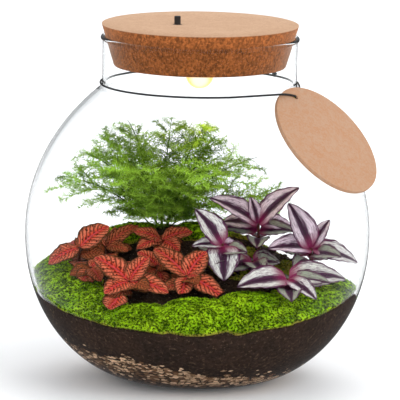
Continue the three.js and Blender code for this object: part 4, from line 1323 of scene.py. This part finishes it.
def rough_ground(x, y):
    """Height of the soil with its small lumps."""
    fine = 0.5 * np.sin(x * 1.9) * np.sin(y * 2.3) + 0.4 * np.sin(x * 3.1 + y * 1.2)
    return ground(x, y) + fine * 0.6


def soil_fill(rng):
    """The body of soil with loose crumbs on top."""
    growth = Growth()
    growth.add(*filled_layer(lambda x, y: drain_top(x, y) + FIT_GAP, rough_ground, -PRESSED_IN),
               (0.5, 0.5, 0.5))
    for _ in range(CRUMBS):
        azimuth = rng.random() * math.tau
        radius = 112 * math.sqrt(rng.random())
        x, y = radius * math.cos(azimuth), radius * math.sin(azimuth)
        z = soil_at(x, y)
        if radius > inner_radius(z + 2) - 4:
            continue
        corners, faces = pebble(rng, 0.8 + 1.6 * rng.random(), 0.7)
        growth.add(corners + [x, y, z + 0.3], [faces], (0.5, 0.5, rng.random()))
    return growth.piece("soil_fill")


def glass_chip(rng):
    """One loose chip that lies flat against the glass, as (corners, faces)."""
    azimuth = rng.random() * math.tau
    top = float(drain_top(90 * math.cos(azimuth), 90 * math.sin(azimuth)))
    drift = 6.0 * math.exp(-((azimuth - DRIFT_AZIMUTH) / DRIFT_WIDTH) ** 2)
    stray = 10.0 * rng.random() if rng.random() < 0.12 else 1.5 + drift * rng.random()
    z = BASE + 1.5 + (top - BASE - 1.0) * rng.random() ** 0.7 + stray
    lean = math.atan2(float(inner_radius(z + 1) - inner_radius(z - 1)), 2)
    corners, faces = pebble(rng, 1.2 + 2.1 * rng.random(), 0.35, 0.8)
    lay = (Matrix.Rotation(azimuth + math.pi / 2, 3, "Z")
           @ Matrix.Rotation(math.pi / 2 - lean, 3, "X")
           @ Matrix.Rotation(rng.normal(0, 0.35), 3, "Z"))
    corners = corners @ np.array(lay).T
    outward = np.array([math.cos(azimuth), math.sin(azimuth), 0.0])
    depth = np.abs(corners @ outward).max()
    r = float(inner_radius(z)) + PRESSED_IN - depth * math.cos(lean) * 0.6
    corners = corners + r * outward + [0, 0, z]
    corners = drawn_in(corners, inner_radius(corners[:, 2]) + PRESSED_IN + 0.15)
    corners[:, 2] = np.maximum(corners[:, 2], BASE + 0.3)
    return corners, faces


def chip_layer(rng):
    """The bed of drainage chips, painted dark as the shade between chips, and loose chips against
    the glass.
    """
    inset = 0.3 - PRESSED_IN

    def jar_floor(x, y):
        return np.full_like(x + y, BASE + inset)

    growth = Growth()
    # Tint 0 gives the bed the finish's dark painted shade
    growth.add(*filled_layer(jar_floor, lambda x, y: drain_top(x, y) - 0.2, inset),
               (0.5, 0.5, 0.0))
    for _ in range(settings("ground").chips):
        corners, faces = glass_chip(rng)
        growth.add(corners, [faces], (0.5, 0.5, 0.3 + 0.7 * rng.random()))
    return growth.piece("chip_layer", smooth=False)


# Operators, one for each piece or group of like pieces

class TERRARIUM_OT_jar(bpy.types.Operator):
    """Blow the jar: flattened bowl, round shoulder, neck and rolled bead"""
    bl_idname = "terrarium.jar"
    bl_label = "Jar"

    def execute(self, context):
        neck_inside = NECK - WALL
        outline = [(0, 0), (20, 0), (36, 0), *wall_outline(0, 0)]
        outline += [(NECK + out, SHOULDER_TOP + up) for out, up in NECK_SWEEP]
        outline += [(NECK, 228), (NECK, 240)]
        for turn in range(-78, 202, 14):
            a = math.radians(turn)
            outline.append((BEAD_MIDDLE + BEAD_REACH * math.cos(a),
                            HEIGHT - BEAD_HEIGHT / 2 * (1 - math.sin(a))))
        outline += [(neck_inside, 246.4), (neck_inside, 240), (neck_inside, 228)]
        outline += [(neck_inside + 0.6 * out, SHOULDER_TOP + up)
                    for out, up in reversed(NECK_SWEEP)]
        outline += [*reversed(wall_outline(WALL, BASE)), (30, BASE), (15, BASE), (0, BASE)]
        jar = spun("jar", outline, settings("jar").sides)
        in_place(jar, ["glass_jar"], glass_finish())
        return {"FINISHED"}


class TERRARIUM_OT_lid(bpy.types.Operator):
    """Turn the cork lid with its recess for the lamp and its bore for the switch"""
    bl_idname = "terrarium.lid"
    bl_label = "Cork lid"

    def execute(self, context):
        outline = [(0, RECESS_TOP), (RECESS * 0.5, RECESS_TOP), (RECESS, RECESS_TOP),
                   (RECESS, LID_BOTTOM + 0.4), (RECESS + 0.4, LID_BOTTOM),
                   (LID_BOTTOM_RADIUS - 1.0, LID_BOTTOM),
                   (LID_BOTTOM_RADIUS - 0.3, LID_BOTTOM + 0.2)]
        for share in (0.03, 0.2, 0.4, 0.6, 0.8):
            z = LID_BOTTOM + share * (LID_TOP - LID_BOTTOM)
            outline.append((lid_radius(z), z))
        outline += [(lid_radius(LID_TOP - LID_EDGE), LID_TOP - LID_EDGE),
                    (LID_TOP_RADIUS - 0.25, LID_TOP - 0.2), (LID_TOP_RADIUS - LID_EDGE, LID_TOP),
                    (50, LID_TOP), (25, LID_TOP), (0, LID_TOP)]
        lid = spun("lid", outline, 144)
        cut(lid, round_bar("bore", SLEEVE_RADIUS + FIT_GAP, RECESS_TOP - 1, LID_TOP + 1, 40,
                           SWITCH_AT))
        activate(lid)
        bpy.ops.object.shade_smooth_by_angle(angle=math.radians(32))
        in_place(lid, ["cork_lid"], lid_finish())
        return {"FINISHED"}


class TERRARIUM_OT_lamp(bpy.types.Operator):
    """Make the lamp under the lid: cover ring, lit lens and what the recess hides"""
    bl_idname = "terrarium.lamp"
    bl_label = "Lamp"

    def execute(self, context):
        white = plain("White plastic", (0.78, 0.76, 0.71), 0.42)
        top = LID_BOTTOM - FIT_GAP
        bottom = top - COVER_THICKNESS
        hole = LENS_RADIUS + 0.6
        cover = spun("lamp_ring", [
            (hole, bottom), (COVER_RADIUS - 0.8, bottom), (COVER_RADIUS - 0.2, bottom + 0.25),
            (COVER_RADIUS, bottom + 0.8), (COVER_RADIUS, top), (hole, top), (hole, bottom)], 96)
        in_place(cover, ["lamp_cover"], white)
        dome = LENS_BOTTOM + LENS_RADIUS
        turns = [i / 14 * math.pi / 2 for i in range(15)]
        outline = [(LENS_RADIUS * math.sin(t), dome - LENS_RADIUS * math.cos(t)) for t in turns]
        outline += [(LENS_RADIUS, LID_BOTTOM), (LENS_FLANGE, LID_BOTTOM),
                    (LENS_FLANGE, LID_BOTTOM + 1.5), (LENS_HOLLOW, LID_BOTTOM + 1.5)]
        outline += [(LENS_HOLLOW * math.sin(t), dome - LENS_HOLLOW * math.cos(t))
                    for t in reversed(turns)]
        lens = spun("lens", outline, 64)
        in_place(lens, ["lamp_lens"], lens_finish())
        steel = plain("Cell case", (0.42, 0.44, 0.46), 0.32, metallic=1.0)
        hidden = {
            "lamp_housing": white,
            "lamp_board": plain("Circuit board", (0.03, 0.15, 0.06), 0.5),
            "lamp_led": plain("Phosphor", (0.85, 0.70, 0.22), 0.35),
            "battery_cell_1": steel, "battery_cell_2": steel, "battery_cell_3": steel,
        }
        for name, material in hidden.items():
            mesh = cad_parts[name].data
            mesh.materials.clear()
            mesh.materials.append(material)
        lamp = bpy.data.lights.new("lamp_glow", "POINT")
        lamp.energy = settings("lamp").power
        lamp.color = settings("lamp").colour[:3]
        lamp.shadow_soft_size = 0.006
        glow = bpy.data.objects.new("lamp_glow", lamp)
        glow.location = (0, 0, (LENS_BOTTOM - 9) * MM)
        soft(glow)
        return {"FINISHED"}


class TERRARIUM_OT_switch(bpy.types.Operator):
    """Make the push switch: sleeve in the lid and sprung button"""
    bl_idname = "terrarium.switch"
    bl_label = "Switch"

    def execute(self, context):
        black = plain("Black plastic", (0.018, 0.018, 0.019), 0.34)
        floor_top = RECESS_TOP - FIT_GAP
        bottom = floor_top - HOUSING_WALL - SLEEVE_FLOOR
        bore = SWITCH_RADIUS + FIT_GAP
        sleeve = spun("switch_bush", [
            (0, bottom), (SLEEVE_RADIUS, bottom), (SLEEVE_RADIUS, LID_TOP - 0.15),
            (SLEEVE_RADIUS - 0.15, LID_TOP), (bore, LID_TOP), (bore, floor_top),
            (0, floor_top)], 48)
        top = LID_TOP + SWITCH_HEIGHT
        radius = SWITCH_RADIUS
        outline = [(0, RECESS_TOP + 1.5), (radius, RECESS_TOP + 1.5), (radius, top - 0.6)]
        for turn in (20, 40, 60, 80):
            a = math.radians(turn)
            outline.append((radius - 0.5 + 0.5 * math.cos(a), top - 0.5 + 0.5 * math.sin(a)))
        button = spun("switch_cap", [*outline, (radius - 0.6, top), (0, top)], 48)
        place = Matrix.Translation((SWITCH_AT[0] * MM, SWITCH_AT[1] * MM, 0))
        sleeve.data.transform(place)
        button.data.transform(place)
        in_place(sleeve, ["switch_sleeve"], black)
        in_place(button, ["switch_button"], black, body="button")
        return {"FINISHED"}


def tag_axes():
    """The tag's own right, up and out."""
    azimuth, elevation, roll = (math.radians(turn) for turn in TAG_TURN)
    out = np.array([math.cos(elevation) * math.cos(azimuth),
                    math.cos(elevation) * math.sin(azimuth), math.sin(elevation)])
    level = np.array([-math.sin(azimuth), math.cos(azimuth), 0.0])
    up = np.cross(out, level) * math.cos(roll) - level * math.sin(roll)
    return np.cross(up, out), up, out


class TERRARIUM_OT_tag(bpy.types.Operator):
    """Cut the round cork tag and lean it on the jar's shoulder"""
    bl_idname = "terrarium.tag"
    bl_label = "Tag"

    def execute(self, context):
        disc = round_bar("tag_disc", TAG_RADIUS, -TAG_THICKNESS, 0, 160)
        cut(disc, round_bar("tag_hole", TAG_HOLE, -TAG_THICKNESS - 1, 1, 40, (0, TAG_HOLE_UP)))
        soften(disc, 0.35)
        leaning = Matrix(np.stack(tag_axes(), -1).tolist()).to_4x4()
        disc.data.transform(Matrix.Translation(Vector(TAG_CENTRE) * MM) @ leaning)
        in_place(disc, ["tag"], tag_finish())
        return {"FINISHED"}


class TERRARIUM_OT_cord(bpy.types.Operator):
    """Run the elastic cord round the neck and through the tag, and knot it"""
    bl_idname = "terrarium.cord"
    bl_label = "Neck cord"

    def execute(self, context):
        right, up, out = tag_axes()
        hole = np.array(TAG_CENTRE) + up * TAG_HOLE_UP

        def ring(azimuth, radius=CORD_RING):
            a = math.radians(azimuth)
            return np.array([radius * math.cos(a), radius * math.sin(a), CORD_HEIGHT])

        def on_tag(side, height, clear):
            return hole + right * side + up * height + out * clear

        route = [ring(KNOT_AZIMUTH + (CORD_LEAVES - KNOT_AZIMUTH) * i / 60) for i in range(61)]
        route += [on_tag(-20, 5, 1.4), on_tag(-14, 4.2, 1.2), on_tag(-8, 2.7, 1.05)]
        route += [on_tag(-4, 1.2, 1), on_tag(-1.6, 0, 0.95), on_tag(-0.6, 0, -0.4)]
        route += [on_tag(-0.2, 0, -2.4), on_tag(0.8, 0.2, -3.9), on_tag(5, 1, -3.95)]
        route += [on_tag(12, 2, -4.6), ring(-9, CORD_RING + 1.2)]
        route += [ring(KNOT_AZIMUTH * i / 12) for i in range(13)]
        growth = Growth()

        def strand(points, radius, sides):
            growth.add(*tube(points, np.full(len(points), radius), sides), (0.5, 0.0, 0.5))

        strand(rounded(route, 4), CORD_RADIUS, 12)
        centre = ring(KNOT_AZIMUTH, CORD_RING + 1.5) + [0, 0, 0.9]
        a = math.radians(KNOT_AZIMUTH)
        outward = np.array([math.cos(a), math.sin(a), 0.0])
        tangent = np.array([-math.sin(a), math.cos(a), 0.0])
        t = np.linspace(0, math.tau, 60)
        x = 0.62 * (np.sin(t) + 1.6 * np.sin(2 * t))
        y = 0.62 * (np.cos(t) - 1.6 * np.cos(2 * t))
        z = -0.75 * np.sin(3 * t)
        strand(centre + x[:, None] * tangent + y[:, None] * np.array([0, 0, 1.0])
               + z[:, None] * outward, 0.62, 10)
        for lean in (-0.9, 0.7):
            strand([centre, centre + [0, 0, 1.0] + tangent * lean,
                    centre + [0, 0, 2.6] + tangent * 1.6 * lean], 0.55, 10)
        in_place(growth.piece("elastic_cord"), ["neck_cord"], cord_finish())
        return {"FINISHED"}


class TERRARIUM_OT_nerve_plant(bpy.types.Operator):
    """Grow the nerve plant's netted coral rosettes"""
    bl_idname = "terrarium.nerve_plant"
    bl_label = "Nerve plant"

    def execute(self, context):
        grow_shoots(NERVE_PLANT, NERVE_FORM, NERVE_TONES, (-0.18, 0.3), 7,
                    nerve_finish())
        return {"FINISHED"}


class TERRARIUM_OT_inch_plant(bpy.types.Operator):
    """Grow the inch plant's silver and purple shoots"""
    bl_idname = "terrarium.inch_plant"
    bl_label = "Inch plant"

    def execute(self, context):
        grow_shoots(INCH_PLANT, INCH_FORM, INCH_TONES, (-0.2, 0.15), 8,
                    inch_finish())
        return {"FINISHED"}


class TERRARIUM_OT_fern(bpy.types.Operator):
    """Grow the fern's fine fronds"""
    bl_idname = "terrarium.fern"
    bl_label = "Fern"

    def execute(self, context):
        material = fern_finish()
        for number in range(len(FRONDS)):
            in_place(fern_frond(number), ["fern_frond_%02d" % (number + 1)], material)
        return {"FINISHED"}


class TERRARIUM_OT_moss(bpy.types.Operator):
    """Lay the moss banks on the soil"""
    bl_idname = "terrarium.moss"
    bl_label = "Moss"

    def execute(self, context):
        material = moss_finish()
        rng = np.random.default_rng(21)
        for name, cushions in MOSS.items():
            in_place(moss_bank(name, cushions, rng), [name], material)
        in_place(moss_bank("moss_carpet", CARPET, rng), [], material)
        return {"FINISHED"}


class TERRARIUM_OT_ground(bpy.types.Operator):
    """Fill the jar with soil over a layer of drainage chips"""
    bl_idname = "terrarium.ground"
    bl_label = "Soil and chips"

    def execute(self, context):
        rng = np.random.default_rng(31)
        in_place(soil_fill(rng), ["soil"], soil_finish())
        in_place(chip_layer(rng), ["drainage_chips"], chip_finish())
        return {"FINISHED"}


def area_light(name, place, aim_height, size, power):
    """A soft rectangular light that looks at a height on the jar's axis."""
    light = bpy.data.lights.new(name, "AREA")
    light.shape = "RECTANGLE"
    light.size, light.size_y = size
    light.energy = power
    lamp = bpy.data.objects.new(name, light)
    lamp.location = place
    heading = Vector((0, 0, aim_height)) - Vector(place)
    lamp.rotation_euler = heading.to_track_quat("-Z", "Y").to_euler()
    soft(lamp)


def studio_world():
    """A pale world, which looks darker in the mirror images on the glass."""
    world = bpy.data.worlds.new("Studio")
    world.use_nodes = True
    tree = world.node_tree
    pale = tree.nodes["Background"]
    fill(tree, pale.inputs["Color"], (0.95, 0.97, 1.0))
    fill(tree, pale.inputs["Strength"], 0.9)
    height = height_of(tree, put(tree, "ShaderNodeTexCoord").outputs["Generated"])
    shine = blend(tree, step(tree, height, -0.2, 0.3), (0.12, 0.122, 0.125), (0.45, 0.46, 0.47))
    dim = put(tree, "ShaderNodeBackground", {"Color": shine})
    ray = put(tree, "ShaderNodeLightPath").outputs
    share = sloped(tree, ray["Is Transmission Ray"], -0.6, 1.0)
    share = times(tree, share, ray["Is Glossy Ray"])
    mixed = put(tree, "ShaderNodeMixShader", {0: share, 1: pale.outputs[0], 2: dim.outputs[0]})
    tree.links.new(mixed.outputs[0], tree.nodes["World Output"].inputs["Surface"])
    return world


def front_camera():
    """A long lens in front of the jar, a little above it and slightly rolled."""
    form = settings("stage")
    back = Vector((0.0, -math.cos(form.elevation), math.sin(form.elevation)))
    data = bpy.data.cameras.new("camera")
    data.sensor_width = SENSOR
    data.lens = LENS_LENGTH
    data.clip_end = 60.0
    camera = bpy.data.objects.new("camera", data)
    turn = (-back).to_track_quat("-Z", "Y").to_matrix()
    roll = Matrix.Rotation(form.roll, 3, "Z")
    camera.matrix_world = (Matrix.Translation(Vector(AIM) + back * form.distance)
                           @ (turn @ roll).to_4x4())
    bpy.context.collection.objects.link(camera)
    return camera


class TERRARIUM_OT_stage(bpy.types.Operator):
    """Set up the pale floor, the soft studio light and the camera"""
    bl_idname = "terrarium.stage"
    bl_label = "Stage"

    def execute(self, context):
        deselect()
        bpy.ops.mesh.primitive_plane_add(size=24, location=(0, 0, -0.0002))
        floor = named(context.object, "floor")
        bpy.ops.object.transform_apply(location=True, rotation=True, scale=True)
        floor.data.materials.append(finish("Pale floor", {
            "Roughness": 0.9, "Specular IOR Level": 0.1, "Base Color": (0.93, 0.93, 0.93)})[0])
        floor.visible_glossy = False
        area_light("key", (1.7, -1.2, 1.6), 0.1, (2.2, 2.2), 38)
        area_light("fill", (-1.5, -1.1, 1.1), 0.1, (1.2, 1.2), 7)
        area_light("back", (0.2, 1.6, 1.7), 0.12, (1.8, 1.2), 22)
        context.scene.world = studio_world()
        context.scene.camera = front_camera()
        context.scene.view_settings.view_transform = "Standard"
        return {"FINISHED"}


class TERRARIUM_PT_panel(bpy.types.Panel):
    """The terrarium's pieces and their settings"""
    bl_label = "Terrarium"
    bl_idname = "TERRARIUM_PT_panel"
    bl_space_type = "VIEW_3D"
    bl_region_type = "UI"
    bl_category = "Terrarium"

    def draw(self, context):
        for operator in OPERATORS:
            self.layout.operator(operator.bl_idname)
        for name, group in SETTINGS.items():
            box = self.layout.box()
            box.label(text=group.__doc__)
            for key in group.__annotations__:
                box.prop(settings(name), key)


OPERATORS = [
    TERRARIUM_OT_stage, TERRARIUM_OT_jar, TERRARIUM_OT_lid, TERRARIUM_OT_lamp,
    TERRARIUM_OT_switch, TERRARIUM_OT_tag, TERRARIUM_OT_cord, TERRARIUM_OT_nerve_plant,
    TERRARIUM_OT_inch_plant, TERRARIUM_OT_fern, TERRARIUM_OT_moss, TERRARIUM_OT_ground,
]
CLASSES = [*SETTINGS.values(), *OPERATORS, TERRARIUM_PT_panel]


def register():
    for item in CLASSES:
        bpy.utils.register_class(item)
    for name, group in SETTINGS.items():
        setattr(bpy.types.Scene, "terrarium_" + name, PointerProperty(type=group))


def unregister():
    for name in SETTINGS:
        delattr(bpy.types.Scene, "terrarium_" + name)
    for item in reversed(CLASSES):
        bpy.utils.unregister_class(item)


def main():
    register()
    bpy.ops.terrarium.stage()
    bpy.ops.terrarium.jar()
    bpy.ops.terrarium.lid()
    bpy.ops.terrarium.lamp()
    bpy.ops.terrarium.switch()
    bpy.ops.terrarium.tag()
    bpy.ops.terrarium.cord()
    bpy.ops.terrarium.nerve_plant()
    bpy.ops.terrarium.inch_plant()
    bpy.ops.terrarium.fern()
    bpy.ops.terrarium.moss()
    bpy.ops.terrarium.ground()
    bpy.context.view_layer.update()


if __name__ == "__main__":
    main()
